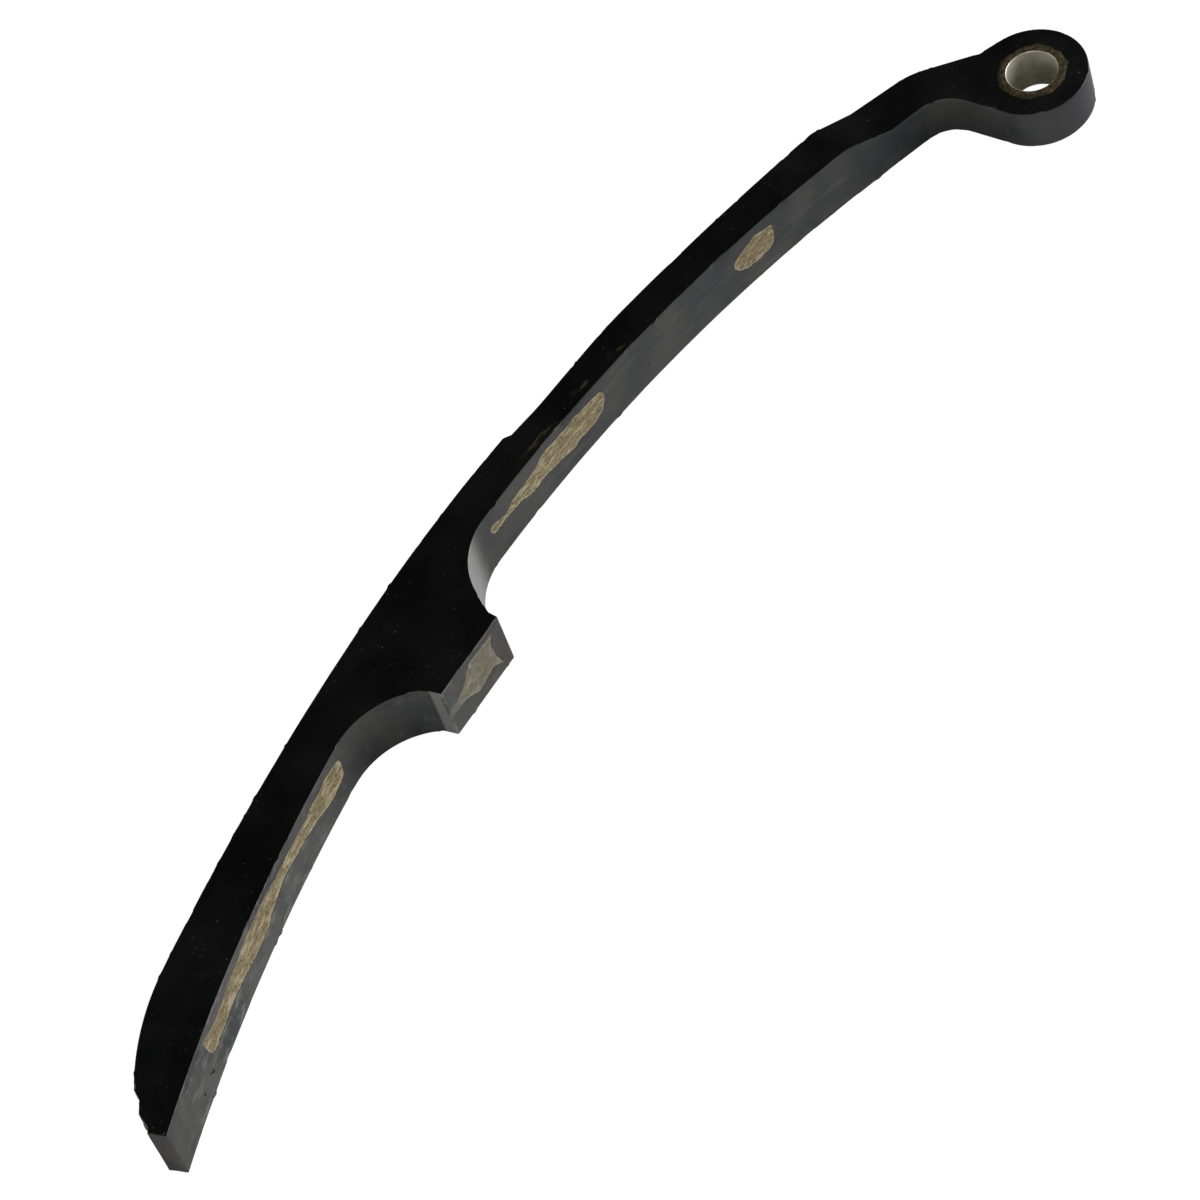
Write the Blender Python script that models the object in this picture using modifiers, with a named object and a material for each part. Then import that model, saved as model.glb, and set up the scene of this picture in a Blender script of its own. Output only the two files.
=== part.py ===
"""Timing chain guide: a curved steel leaf moulded into black rubber, with a pivot bush in the
eye at one end and a pad block on its back that the tensioner presses.

The guide lies on its side, as it would on a bench. The blade runs from the eye towards -X, the
chain runs over the face on the +Y side, and the pad stands on the -Y side. Profiles are drawn
on a flat plane in (u, v): u runs along the chord from the bush's axis towards the tip, and v
runs towards the chain. A point (u, v) lies at (-u, v) in the model.
"""

import math
import random

import bmesh
import bpy
import numpy as np
from mathutils import Matrix, Vector

# Widths along the bush's axis. The eye is narrower than the blade and centred on it.
BLADE_WIDTH = 0.0124
EYE_WIDTH = 0.0088
RAMP_START = 0.0232
RAMP_END = 0.0315

# The pivot bush and the eye around it. The bush stands a little proud of both the eye's sides.
BORE_RADIUS = 0.0048
BUSH_WALL = 0.0012
BUSH_PROUD = 0.0002
BUSH_CHAMFER = 0.0002
EYE_RADIUS = 0.0104

# The chain side of the neck: a shoulder leaves the eye, and a slope climbs to the blade.
SHOULDER_ANGLE = math.radians(22.5)
SHOULDER_LENGTH = 0.0049
SLOPE_ANGLE = math.radians(42.2)
SLOPE_FILLET = 0.0150
CHAIN_NECK_ANGLE = math.radians(18.7)

# The blade's length along its back face, from the neck to the tip, and the pad's place on it.
BLADE_LENGTH = 0.2274
PAD_STATION = 0.1150

# The chain face: tangent arcs from the neck to the nose. The last flat one ends short of the
# tip, where two tight ones round the nose, each a length and a radius.
CHAIN_START = (0.0310, 0.02741)
CHAIN_HEADING = math.radians(10.48)
CHAIN_STATIONS = (0.0600, 0.1200)
CHAIN_RADII = (0.5965, 0.3252, 0.5091)
NOSE_SETBACK = 0.0261
NOSE_LEGS = ((0.0234, 0.0515), (0.0090, 0.0169))

# The back face: one arc as far as the pad and one beyond it, and the neck that leads to them.
BACK_START = (0.0320, 0.01923)
BACK_HEADING = math.radians(13.95)
BACK_RADII = (0.3280, 0.3730)
BACK_NECK_ANGLE = math.radians(22.8)
BACK_NECK_LENGTH = 0.0098
BACK_ROOT_ANGLE = math.radians(15.3)
EYE_WEB_ANGLE = math.radians(-6.0)
NECK_FILLET = 0.0074

# The raised pad on the back: its face's middle from the pad's station, how far it stands out,
# and its turn from the back face there. Short sides lead to flanks that lean out, and large
# fillets carry those to the back face.
PAD_SHIFT = 0.00984
PAD_HEIGHT = 0.01351
PAD_LENGTH = 0.0178
PAD_TURN = math.radians(2.04)
PAD_SIDE_EYE = 0.00215
PAD_SIDE_TIP = 0.0030
PAD_LEAN_EYE = math.radians(-4.1)
PAD_LEAN_TIP = math.radians(9.6)
PAD_SIDE_FILLET = 0.0018
PAD_FLANK_ANGLE_EYE = math.radians(118.4)
PAD_FLANK_ANGLE_TIP = math.radians(55.0)
PAD_FILLET_EYE = 0.0156
PAD_FILLET_TIP = 0.0160

# What the rubber holds: the leaf and the pad block, with the rubber's walls over them.
LEAF_THICKNESS = 0.0016
LEAF_ROLL_SWEEP = math.radians(285.0)
LEAF_TIP_COVER = 0.0025
BACK_SKIN = 0.0003
SIDE_SKIN = 0.0005
PAD_SKIN = 0.0004
PAD_END_COVER = 0.0008
BOND_GAP = 0.0003

# Wear and damage: a hollow that the chain wore in the face, and a piece torn off the nose
# along a ragged edge, given from the blade's corner at the tip.
WEAR_START = 0.0800
WEAR_DEEPEST = 0.1070
WEAR_STEP = 0.1133
WEAR_STEP_RUN = 0.0010
WEAR_DEPTH = 0.0012
WEAR_STEP_HEIGHT = 0.0009
TEAR_EDGE = (
    (-0.0074, 0.0150),
    (-0.0044, 0.0116),
    (-0.0037, 0.0101),
    (-0.0033, 0.0093),
    (-0.0018, 0.0078),
    (-0.0010, 0.0070),
    (-0.0005, 0.0062),
    (0.0000, 0.0046),
    (0.0004, 0.0039),
    (0.0022, 0.0027),
)
TEAR_SLANT = 0.0005
TEAR_SLANT_ANGLE = math.radians(35.0)
TEAR_ROUGHNESS = 0.00012
TEAR_ROWS = 7
TEAR_REACH = 0.0080
TEAR_SEED = 11

# Where the moulding's skin stayed open: ragged outlines, each a station on the back face and
# the points around it, along the face towards the tip and up across the blade from its middle.
WINDOW_NEAR_EYE = (
    0.0241,
    (
        (-0.0051, 0.0022), (-0.0051, 0.0006), (-0.0047, -0.0008), (-0.0039, -0.0015),
        (-0.0029, -0.0019), (-0.0013, -0.0020), (0.0005, -0.0021), (0.0022, -0.0020),
        (0.0033, -0.0014), (0.0044, -0.0008), (0.0051, 0.0002), (0.0052, 0.0013),
        (0.0048, 0.0021), (0.0033, 0.0028), (0.0019, 0.0033), (0.0001, 0.0038),
        (-0.0008, 0.0042), (-0.0025, 0.0038), (-0.0039, 0.0036), (-0.0049, 0.0034),
    ),
)
WINDOW_MIDDLE = (
    0.0815,
    (
        (-0.0171, 0.0021), (-0.0168, 0.0007), (-0.0160, -0.0006), (-0.0152, -0.0013),
        (-0.0137, -0.0018), (-0.0116, -0.0021), (-0.0099, -0.0018), (-0.0087, -0.0016),
        (-0.0082, -0.0021), (-0.0066, -0.0022), (-0.0030, -0.0014), (-0.0006, -0.0013),
        (0.0008, -0.0009), (0.0027, -0.0008), (0.0034, -0.0013), (0.0054, -0.0011),
        (0.0067, -0.0007), (0.0075, 0.0001), (0.0111, 0.0002), (0.0123, 0.0006),
        (0.0151, 0.0003), (0.0166, 0.0005), (0.0171, 0.0022), (0.0166, 0.0027),
        (0.0153, 0.0026), (0.0132, 0.0016), (0.0120, 0.0016), (0.0107, 0.0023),
        (0.0095, 0.0027), (0.0051, 0.0029), (0.0023, 0.0033), (0.0004, 0.0044),
        (-0.0015, 0.0043), (-0.0045, 0.0040), (-0.0079, 0.0040), (-0.0089, 0.0044),
        (-0.0113, 0.0039), (-0.0157, 0.0038), (-0.0166, 0.0032),
    ),
)
WINDOW_NEAR_TIP = (
    BLADE_LENGTH - 0.0473,
    (
        (-0.0295, 0.0026), (-0.0293, 0.0003), (-0.0289, -0.0006), (-0.0283, -0.0012),
        (-0.0259, -0.0014), (-0.0249, -0.0018), (-0.0213, -0.0011), (-0.0197, -0.0005),
        (-0.0181, -0.0003), (-0.0141, 0.0005), (-0.0103, 0.0007), (-0.0071, 0.0011),
        (-0.0053, 0.0011), (-0.0025, 0.0002), (0.0007, -0.0003), (0.0015, -0.0010),
        (0.0025, -0.0014), (0.0067, -0.0014), (0.0103, -0.0010), (0.0139, -0.0005),
        (0.0184, -0.0002), (0.0229, -0.0006), (0.0267, -0.0006), (0.0281, -0.0001),
        (0.0285, 0.0010), (0.0291, 0.0041), (0.0287, 0.0048), (0.0277, 0.0047),
        (0.0264, 0.0041), (0.0234, 0.0035), (0.0191, 0.0038), (0.0174, 0.0043),
        (0.0124, 0.0042), (0.0104, 0.0046), (0.0079, 0.0047), (0.0027, 0.0047),
        (-0.0015, 0.0044), (-0.0046, 0.0039), (-0.0097, 0.0039), (-0.0131, 0.0038),
        (-0.0171, 0.0036), (-0.0188, 0.0041), (-0.0205, 0.0037), (-0.0229, 0.0038),
        (-0.0240, 0.0043), (-0.0279, 0.0038), (-0.0291, 0.0035),
    ),
)
WINDOW_ON_PAD = (
    (-0.0063, 0.0045), (-0.0060, 0.0038), (-0.0054, 0.0030), (-0.0052, 0.0020),
    (-0.0055, 0.0008), (-0.0055, -0.0007), (-0.0059, -0.0022), (-0.0063, -0.0036),
    (-0.0069, -0.0046), (-0.0060, -0.0042), (-0.0052, -0.0033), (-0.0046, -0.0027),
    (-0.0020, -0.0029), (-0.0008, -0.0033), (0.0003, -0.0037), (0.0012, -0.0035),
    (0.0020, -0.0029), (0.0039, -0.0017), (0.0052, -0.0015), (0.0062, -0.0008),
    (0.0069, -0.0003), (0.0063, 0.0001), (0.0056, 0.0008), (0.0037, 0.0018),
    (0.0029, 0.0026), (0.0022, 0.0036), (0.0014, 0.0041), (0.0009, 0.0049),
    (-0.0010, 0.0048), (-0.0040, 0.0046),
)

# How finely round stretches are drawn.
FACE_STEP = 0.0040
ARC_STEP = math.radians(6.0)
BUSH_SIDES = 64
SEAT_STEPS = 6
EDGE_RADIUS = 0.00022
SHARP_EDGE = math.radians(40.0)
SMOOTH_UP_TO = math.radians(30.0)
CUT_MARGIN = 0.0020

BUSH_RADIUS = BORE_RADIUS + BUSH_WALL
PIVOT_HEIGHT = BLADE_WIDTH / 2
BACK_LEGS = tuple(zip((PAD_STATION, BLADE_LENGTH - PAD_STATION), BACK_RADII))
CHAIN_BREAKS = (0.0, *CHAIN_STATIONS, BLADE_LENGTH - NOSE_SETBACK)
CHAIN_LEGS = tuple(zip(np.diff(CHAIN_BREAKS).tolist(), CHAIN_RADII))


def unit(angle):
    return Vector((math.cos(angle), math.sin(angle)))


def left_of(direction):
    return Vector((-direction.y, direction.x))


def meet(point_a, angle_a, point_b, angle_b):
    """Where the line through point_a at angle_a crosses the line through point_b at angle_b."""
    along, across = unit(angle_a), left_of(unit(angle_b))
    reach = (Vector(point_b) - Vector(point_a)).dot(across) / along.dot(across)
    return Vector(point_a) + along * reach


def arc(centre, radius, start, end):
    """Points on a circle from one angle to another, both ends included."""
    count = max(2, math.ceil(abs(end - start) / ARC_STEP))
    return [Vector(centre) + unit(start + (end - start) * i / count) * radius for i in range(count + 1)]


def right_hand_legs(start, heading, legs):
    """Points and headings along tangent arcs that bend to the right, each a length and a radius."""
    point = Vector(start)
    path = [(point, heading)]
    for length, radius in legs:
        steps = math.ceil(length / FACE_STEP)
        turn = length / radius / steps
        chord = 2 * radius * math.sin(turn / 2)
        for _ in range(steps):
            point = point + unit(heading - turn / 2) * chord
            heading -= turn
            path.append((point, heading))
    return path


def fillet(before, corner, after, radius):
    """The arc that rounds the corner between two straight edges."""
    to_before = (before - corner).normalized()
    to_after = (after - corner).normalized()
    half = to_before.angle(to_after) / 2
    middle = corner + (to_before + to_after).normalized() * (radius / math.sin(half))
    touch = radius / math.tan(half)
    first = corner + to_before * touch - middle
    last = corner + to_after * touch - middle
    start = math.atan2(first.y, first.x)
    turn = math.remainder(math.atan2(last.y, last.x) - start, 2 * math.pi)
    return arc(middle, radius, start, start + turn)


def back_face(depth=0.0, short=0.0):
    """The back face as points and headings, moved into the blade and ending short of the tip."""
    start = Vector(BACK_START) + left_of(unit(BACK_HEADING)) * depth
    (first, first_radius), (last, last_radius) = BACK_LEGS
    legs = (
        (first * (first_radius + depth) / first_radius, first_radius + depth),
        ((last - short) * (last_radius + depth) / last_radius, last_radius + depth),
    )
    return right_hand_legs(start, BACK_HEADING, legs)


def back_leg_centre(leg):
    """The centre and radius of one of the back face's arcs."""
    point, heading = right_hand_legs(BACK_START, BACK_HEADING, BACK_LEGS[:leg])[-1]
    radius = BACK_LEGS[leg][1]
    return point - left_of(unit(heading)) * radius, radius


def pad_frame():
    """The middle of the pad's face, its direction towards the tip and its outward normal."""
    point, heading = right_hand_legs(BACK_START, BACK_HEADING, BACK_LEGS[:1])[-1]
    centre = point + unit(heading) * PAD_SHIFT - left_of(unit(heading)) * PAD_HEIGHT
    along = unit(heading + PAD_TURN)
    return centre, along, -left_of(along)


def flank(corner, angle, radius, leg, side):
    """A pad flank from its corner to the back face: the touching points and the fillet's arc."""
    along = unit(angle)
    inward = left_of(along) * side
    centre_line = corner + inward * radius
    leg_centre, leg_radius = back_leg_centre(leg)
    offset = centre_line - leg_centre
    half = offset.dot(along)
    reach = math.sqrt(half * half - offset.length_squared + (leg_radius - radius) ** 2) - half
    centre = centre_line + along * reach
    start = math.atan2(-inward.y, -inward.x)
    outward = centre - leg_centre
    turn = math.remainder(math.atan2(outward.y, outward.x) - start, 2 * math.pi)
    return arc(centre, radius, start, start + turn)


def worn(u):
    """How deep the chain has worn its face at u."""
    if u <= WEAR_START or u > WEAR_STEP:
        return 0.0
    if u <= WEAR_DEEPEST:
        share = (u - WEAR_START) / (WEAR_DEEPEST - WEAR_START)
        return WEAR_DEPTH * share * share * (3 - 2 * share)
    share = (u - WEAR_DEEPEST) / (WEAR_STEP - WEAR_DEEPEST)
    return WEAR_DEPTH + (WEAR_STEP_HEIGHT - WEAR_DEPTH) * share


def chain_face():
    """The chain face from the neck to the end face, with its worn hollow and the step after it."""
    path = right_hand_legs(CHAIN_START, CHAIN_HEADING, CHAIN_LEGS + NOSE_LEGS)
    points = []
    for (point, heading), (ahead, _) in zip(path, path[1:] + path[-1:]):
        points.append(point - left_of(unit(heading)) * worn(point.x))
        if point.x < WEAR_STEP <= ahead.x:
            rise = (ahead - point) / (ahead.x - point.x)
            foot = point + rise * (WEAR_STEP - point.x)
            points.append(foot - left_of(unit(heading)) * WEAR_STEP_HEIGHT)
            points.append(foot + rise * WEAR_STEP_RUN)
    return points


def chain_neck():
    """The chain side of the neck, from the eye's circle to the chain face."""
    shoulder = unit(SHOULDER_ANGLE + math.pi / 2) * EYE_RADIUS
    foot = shoulder + unit(SHOULDER_ANGLE) * SHOULDER_LENGTH
    bend = meet(foot, SLOPE_ANGLE, CHAIN_START, CHAIN_NECK_ANGLE)
    return [foot] + fillet(foot, bend, Vector(CHAIN_START), SLOPE_FILLET)


def back_neck():
    """The back of the neck: the corner fillet at the eye's web, and the bend in the neck's back."""
    web = unit(EYE_WEB_ANGLE) * EYE_RADIUS
    bend = Vector(BACK_START) - unit(BACK_NECK_ANGLE) * BACK_NECK_LENGTH
    corner = meet(web, EYE_WEB_ANGLE + math.pi / 2, bend, BACK_ROOT_ANGLE)
    return fillet(web, corner, bend, NECK_FILLET) + [bend]


def pad_corners():
    """The pad's four corners: the eye side's flank end and face corner, then the tip side's."""
    centre, along, outward = pad_frame()
    eye = centre - along * (PAD_LENGTH / 2)
    tip = centre + along * (PAD_LENGTH / 2)
    inward = math.atan2(-outward.y, -outward.x)
    eye_root = eye + unit(inward - PAD_LEAN_EYE) * PAD_SIDE_EYE
    tip_root = tip + unit(inward - PAD_LEAN_TIP) * PAD_SIDE_TIP
    return eye_root, eye, tip, tip_root


def back_with_pad():
    """The back face from the neck to the tip, going round the pad."""
    eye_root, eye, tip, tip_root = pad_corners()
    eye_flank = flank(eye_root, PAD_FLANK_ANGLE_EYE, PAD_FILLET_EYE, 0, 1)
    tip_flank = flank(tip_root, PAD_FLANK_ANGLE_TIP, PAD_FILLET_TIP, 1, -1)
    face = [point for point, _ in back_face()]
    before = [point for point in face if point.x < eye_flank[-1].x - FACE_STEP / 4]
    after = [point for point in face if point.x > tip_flank[-1].x + FACE_STEP / 4]
    eye_side = fillet(eye_flank[0], eye_root, eye, PAD_SIDE_FILLET)
    tip_side = fillet(tip, tip_root, tip_flank[0], PAD_SIDE_FILLET)
    return before + eye_flank[::-1] + eye_side + [eye, tip] + tip_side + tip_flank + after


def blade_outline():
    """The whole guide seen along the bush's axis, with the nose still whole."""
    eye = arc((0, 0), EYE_RADIUS, SHOULDER_ANGLE + math.pi / 2, EYE_WEB_ANGLE + 2 * math.pi)
    return chain_face()[::-1] + chain_neck()[::-1] + eye + back_neck() + back_with_pad()


def leaf_inner_face():
    """The leaf's face towards the back, from the tip round the bush to the end of its roll."""
    depth = BACK_SKIN + BOND_GAP
    roll_radius = BUSH_RADIUS + BOND_GAP
    blade = [point for point, _ in back_face(depth, LEAF_TIP_COVER)][::-1]
    root, bend = back_neck()[-2:]
    bend = bend + left_of(unit(BACK_NECK_ANGLE)) * depth
    root = root + left_of(unit(BACK_ROOT_ANGLE)) * depth
    to_axis = math.atan2(-root.y, -root.x)
    first = to_axis - math.asin(roll_radius / root.length) - math.pi / 2
    return blade + [bend, root] + arc((0, 0), roll_radius, first, first + LEAF_ROLL_SWEEP)


def leaf_outline(grow):
    """The leaf's section along its length, made larger on every side by a clearance."""
    face = leaf_inner_face()
    ahead = [(b - a).normalized() for a, b in zip(face, face[1:])]
    ahead = [ahead[0]] + [(a + b).normalized() for a, b in zip(ahead, ahead[1:])] + [ahead[-1]]
    face[0] = face[0] - ahead[0] * grow
    face[-1] = face[-1] + ahead[-1] * grow
    outward = [-left_of(direction) for direction in ahead]
    inner = [point - side * grow for point, side in zip(face, outward)]
    outer = [point + side * (LEAF_THICKNESS + grow) for point, side in zip(face, outward)]
    return inner + outer[::-1]


def pad_block_outline(grow):
    """The block under the pad's face, seated on the leaf's back, larger by a clearance."""
    centre, along, outward = pad_frame()
    half = PAD_LENGTH / 2 - PAD_END_COVER - BOND_GAP + grow
    sunk = PAD_SKIN + BOND_GAP - grow
    seat = [point - centre for point, _ in back_face(BACK_SKIN + grow)]
    places = [offset.dot(along) for offset in seat]
    heights = [-offset.dot(outward) for offset in seat]
    stops = [half * (1 - 2 * i / SEAT_STEPS) for i in range(SEAT_STEPS + 1)]
    base = [centre + along * stop - outward * np.interp(stop, places, heights) for stop in stops]
    return [centre - along * half - outward * sunk, centre + along * half - outward * sunk] + base


def new_collection(name):
    collection = bpy.data.collections.new(name)
    bpy.context.scene.collection.children.link(collection)
    return collection


def made_mesh(guide, name, collection):
    """Turns a curve object into a closed mesh object in its place."""
    bpy.context.scene.collection.objects.link(guide)
    graph = bpy.context.evaluated_depsgraph_get()
    mesh = bpy.data.meshes.new_from_object(guide.evaluated_get(graph))
    mesh.name = name
    form = bmesh.new()
    form.from_mesh(mesh)
    bmesh.ops.remove_doubles(form, verts=form.verts, dist=1e-6)
    bmesh.ops.recalc_face_normals(form, faces=form.faces)
    form.to_mesh(mesh)
    form.free()
    solid = bpy.data.objects.new(name, mesh)
    solid.matrix_world = guide.matrix_world
    collection.objects.link(solid)
    bpy.data.objects.remove(guide)
    return solid


def flat_curve(name, depth, frame):
    curve = bpy.data.curves.new(name, "CURVE")
    curve.dimensions = "2D"
    curve.fill_mode = "BOTH"
    curve.extrude = depth / 2
    guide = bpy.data.objects.new(name + "_guide", curve)
    guide.matrix_world = frame
    return guide, curve


def extruded(name, outline, low, high, collection, frame=None):
    """A straight-sided solid on a flat outline of (u, v) points, between two heights."""
    middle = Matrix.Translation((0, 0, (low + high) / 2))
    guide, curve = flat_curve(name, high - low, (frame or Matrix()) @ middle)
    spline = curve.splines.new("POLY")
    spline.points.add(len(outline) - 1)
    for corner, (u, v) in zip(spline.points, outline):
        corner.co = (-u, v, 0, 1)
    spline.use_cyclic_u = True
    return made_mesh(guide, name, collection)


def rounded(outline):
    """A closed outline with each corner cut off a quarter of the way along its edges."""
    points = [Vector(point) for point in outline]
    ahead = points[1:] + points[:1]
    return [place for a, b in zip(points, ahead) for place in (a.lerp(b, 0.25), a.lerp(b, 0.75))]


def face_frame(point, heading):
    """A frame on a face: -X along it towards the tip, Y up across the blade, Z out of the rubber."""
    out = -left_of(unit(heading))
    return Matrix(
        (
            (math.cos(heading), 0, -out.x, -point.x),
            (-math.sin(heading), 0, out.y, point.y),
            (0, 1, 0, PIVOT_HEIGHT),
            (0, 0, 0, 1),
        )
    )


def cylinder(name, radius, low, high, collection):
    form = bmesh.new()
    bmesh.ops.create_cone(
        form, cap_ends=True, segments=BUSH_SIDES, radius1=radius, radius2=radius, depth=high - low
    )
    mesh = bpy.data.meshes.new(name)
    form.to_mesh(mesh)
    form.free()
    solid = bpy.data.objects.new(name, mesh)
    solid.location.z = (low + high) / 2
    collection.objects.link(solid)
    return solid


def side_relief(name, inset, top, collection):
    """What is cut off one side so that the eye is narrower than the blade, with a ramp between."""
    eye_side = PIVOT_HEIGHT + EYE_WIDTH / 2 - inset
    blade_side = BLADE_WIDTH - inset
    outline = [
        (-2 * EYE_RADIUS, eye_side),
        (RAMP_START, eye_side),
        (RAMP_END, blade_side),
        (RAMP_END, blade_side + CUT_MARGIN),
        (-2 * EYE_RADIUS, blade_side + CUT_MARGIN),
    ]
    if not top:
        outline = [(u, BLADE_WIDTH - z) for u, z in outline]
    reach = 4 * EYE_RADIUS
    return extruded(name, outline, -reach, reach, collection, Matrix.Rotation(math.pi / 2, 4, "X"))


def torn_off(collection):
    """The piece torn off the nose: a rough sheet through the tear, thickened away from the blade."""
    rough = random.Random(TEAR_SEED)
    tip = back_face()[-1][0]
    away = unit(TEAR_SLANT_ANGLE) * TEAR_REACH
    rows = [-CUT_MARGIN + (BLADE_WIDTH + 2 * CUT_MARGIN) * i / (TEAR_ROWS - 1) for i in range(TEAR_ROWS)]
    form = bmesh.new()
    bmesh.ops.create_grid(form, x_segments=len(TEAR_EDGE) - 1, y_segments=TEAR_ROWS - 1, size=1)
    in_rows = sorted(form.verts, key=lambda vert: (round(vert.co.y, 4), vert.co.x))
    for index, vert in enumerate(in_rows):
        u, v = TEAR_EDGE[index % len(TEAR_EDGE)]
        height = rows[index // len(TEAR_EDGE)]
        shift = unit(TEAR_SLANT_ANGLE) * TEAR_SLANT * (1 - height / BLADE_WIDTH)
        shake = Vector([rough.uniform(-1, 1) for _ in range(2)]) * TEAR_ROUGHNESS
        place = tip + Vector((u, v)) + shift + shake
        vert.co = (-place.x, place.y, height)
    grown = bmesh.ops.extrude_face_region(form, geom=form.faces[:], use_keep_orig=True)
    moved = [item for item in grown["geom"] if isinstance(item, bmesh.types.BMVert)]
    bmesh.ops.translate(form, verts=moved, vec=(-away.x, away.y, 0))
    bmesh.ops.recalc_face_normals(form, faces=form.faces)
    mesh = bpy.data.meshes.new("torn_piece")
    form.to_mesh(mesh)
    form.free()
    solid = bpy.data.objects.new("torn_piece", mesh)
    collection.objects.link(solid)
    return solid


def cut(solid, *cutters):
    for cutter in cutters:
        boolean = solid.modifiers.new(cutter.name, "BOOLEAN")
        boolean.operation = "DIFFERENCE"
        boolean.object = cutter


def round_edges(solid):
    bevel = solid.modifiers.new("moulded_edges", "BEVEL")
    bevel.width = EDGE_RADIUS
    bevel.segments = 1
    bevel.limit_method = "ANGLE"
    bevel.angle_limit = SHARP_EDGE


def finish(solid, colour, roughness, metallic):
    material = bpy.data.materials.new(solid.name)
    material.use_nodes = True
    shader = material.node_tree.nodes["Principled BSDF"]
    shader.inputs["Base Color"].default_value = (*colour, 1)
    shader.inputs["Roughness"].default_value = roughness
    shader.inputs["Metallic"].default_value = metallic
    solid.data.materials.append(material)
    solid.data.shade_smooth()
    solid.data.set_sharp_from_angle(angle=SMOOTH_UP_TO)


def leaf(name, grow, parts, cutters):
    """The steel leaf, or with a clearance the channel that it fills in the rubber."""
    side = SIDE_SKIN + BOND_GAP - grow
    solid = extruded(name, leaf_outline(grow), side, BLADE_WIDTH - side, parts)
    for top in (True, False):
        cut(solid, side_relief(f"{name}_relief_{'top' if top else 'bottom'}", side, top, cutters))
    return solid


def pad_block(name, grow, collection):
    side = SIDE_SKIN + BOND_GAP - grow
    return extruded(name, pad_block_outline(grow), side, BLADE_WIDTH - side, collection)


def windows(cutters):
    """Cutters for the places where the skin stayed open, each ending inside the leaf's channel."""
    path = back_face()
    stations = [0.0]
    for (a, _), (b, _) in zip(path, path[1:]):
        stations.append(stations[-1] + (b - a).length)
    reach = BACK_SKIN + BOND_GAP + LEAF_THICKNESS / 4
    made = []
    for name, (station, outline) in (
        ("window_near_eye", WINDOW_NEAR_EYE),
        ("window_middle", WINDOW_MIDDLE),
        ("window_near_tip", WINDOW_NEAR_TIP),
    ):
        u = float(np.interp(station, stations, [point.x for point, _ in path]))
        v = float(np.interp(station, stations, [point.y for point, _ in path]))
        heading = float(np.interp(station, stations, [angle for _, angle in path]))
        frame = face_frame(Vector((u, v)), heading)
        made.append(extruded(name, rounded(outline), -reach, CUT_MARGIN, cutters, frame))
    centre, along, _ = pad_frame()
    frame = face_frame(centre, math.atan2(along.y, along.x))
    outline, reach = rounded(WINDOW_ON_PAD), PAD_SKIN + 2 * BOND_GAP
    made.append(extruded("window_on_pad", outline, -reach, CUT_MARGIN, cutters, frame))
    return made


def rubber_body(parts, cutters):
    """The moulding: its outline, the narrow eye, the torn nose, and the spaces for what it holds."""
    solid = extruded("rubber_body", blade_outline(), 0, BLADE_WIDTH, parts)
    for top in (True, False):
        cut(solid, side_relief(f"eye_relief_{'top' if top else 'bottom'}", 0, top, cutters))
    round_edges(solid)
    cut(solid, torn_off(cutters))
    cut(solid, cylinder("bush_seat", BUSH_RADIUS + BOND_GAP, 0, BLADE_WIDTH, cutters))
    cut(solid, leaf("leaf_channel", BOND_GAP, cutters, cutters))
    cut(solid, pad_block("pad_block_seat", BOND_GAP, cutters))
    cut(solid, *windows(cutters))
    return solid


def pivot_bush(parts):
    """A turned steel bush: its section, run round the bore's axis."""
    top = EYE_WIDTH / 2 + BUSH_PROUD
    low = top - BUSH_CHAMFER
    section = [
        (BUSH_RADIUS - BUSH_CHAMFER, top),
        (BUSH_RADIUS, low),
        (BUSH_RADIUS, -low),
        (BUSH_RADIUS - BUSH_CHAMFER, -top),
        (BORE_RADIUS + BUSH_CHAMFER, -top),
        (BORE_RADIUS, -low),
        (BORE_RADIUS, low),
        (BORE_RADIUS + BUSH_CHAMFER, top),
    ]
    mesh = bpy.data.meshes.new("pivot_bush")
    ring = [(index, (index + 1) % len(section)) for index in range(len(section))]
    mesh.from_pydata([(radius, 0, height) for radius, height in section], ring, [])
    solid = bpy.data.objects.new("pivot_bush", mesh)
    solid.location.z = PIVOT_HEIGHT
    parts.objects.link(solid)
    screw = solid.modifiers.new("turned", "SCREW")
    screw.steps = screw.render_steps = BUSH_SIDES
    screw.use_merge_vertices = True
    screw.merge_threshold = 0.00005
    return solid


def hide(collection):
    for cutter in collection.objects:
        cutter.hide_render = True
        cutter.display_type = "WIRE"


def stand_at_origin(solids):
    """Hangs every object on one frame that puts the middle of the guide's box over the origin."""
    outline = blade_outline()
    us = [point.x for point in outline]
    vs = [point.y for point in outline]
    frame = bpy.data.objects.new("guide_frame", None)
    frame.location = ((min(us) + max(us)) / 2, -(min(vs) + max(vs)) / 2, 0)
    bpy.context.scene.collection.objects.link(frame)
    for solid in solids:
        solid.parent = frame


def main():
    for item in list(bpy.data.objects):
        bpy.data.objects.remove(item)
    parts = new_collection("timing_chain_guide")
    cutters = new_collection("cutters")
    body = rubber_body(parts, cutters)
    finish(body, (0.012, 0.012, 0.013), 0.45, 0.0)
    spring_leaf = leaf("steel_leaf", 0.0, parts, cutters)
    finish(spring_leaf, (0.26, 0.21, 0.12), 0.7, 0.3)
    block = pad_block("pad_block", 0.0, parts)
    finish(block, (0.22, 0.20, 0.15), 0.5, 0.6)
    bush = pivot_bush(parts)
    finish(bush, (0.20, 0.19, 0.16), 0.35, 0.9)
    hide(cutters)
    stand_at_origin([*parts.objects, *cutters.objects])


main()
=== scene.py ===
# %% [markdown]
# # Looks for a worn timing chain guide
# The real guide is a spring steel leaf moulded into black rubber, with a steel bush in its eye.
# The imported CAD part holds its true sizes, and this lesson dresses it. Each step could be done by
# hand in the editor, but a script gives the same result each run. Lengths are in metres.

import math

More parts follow.
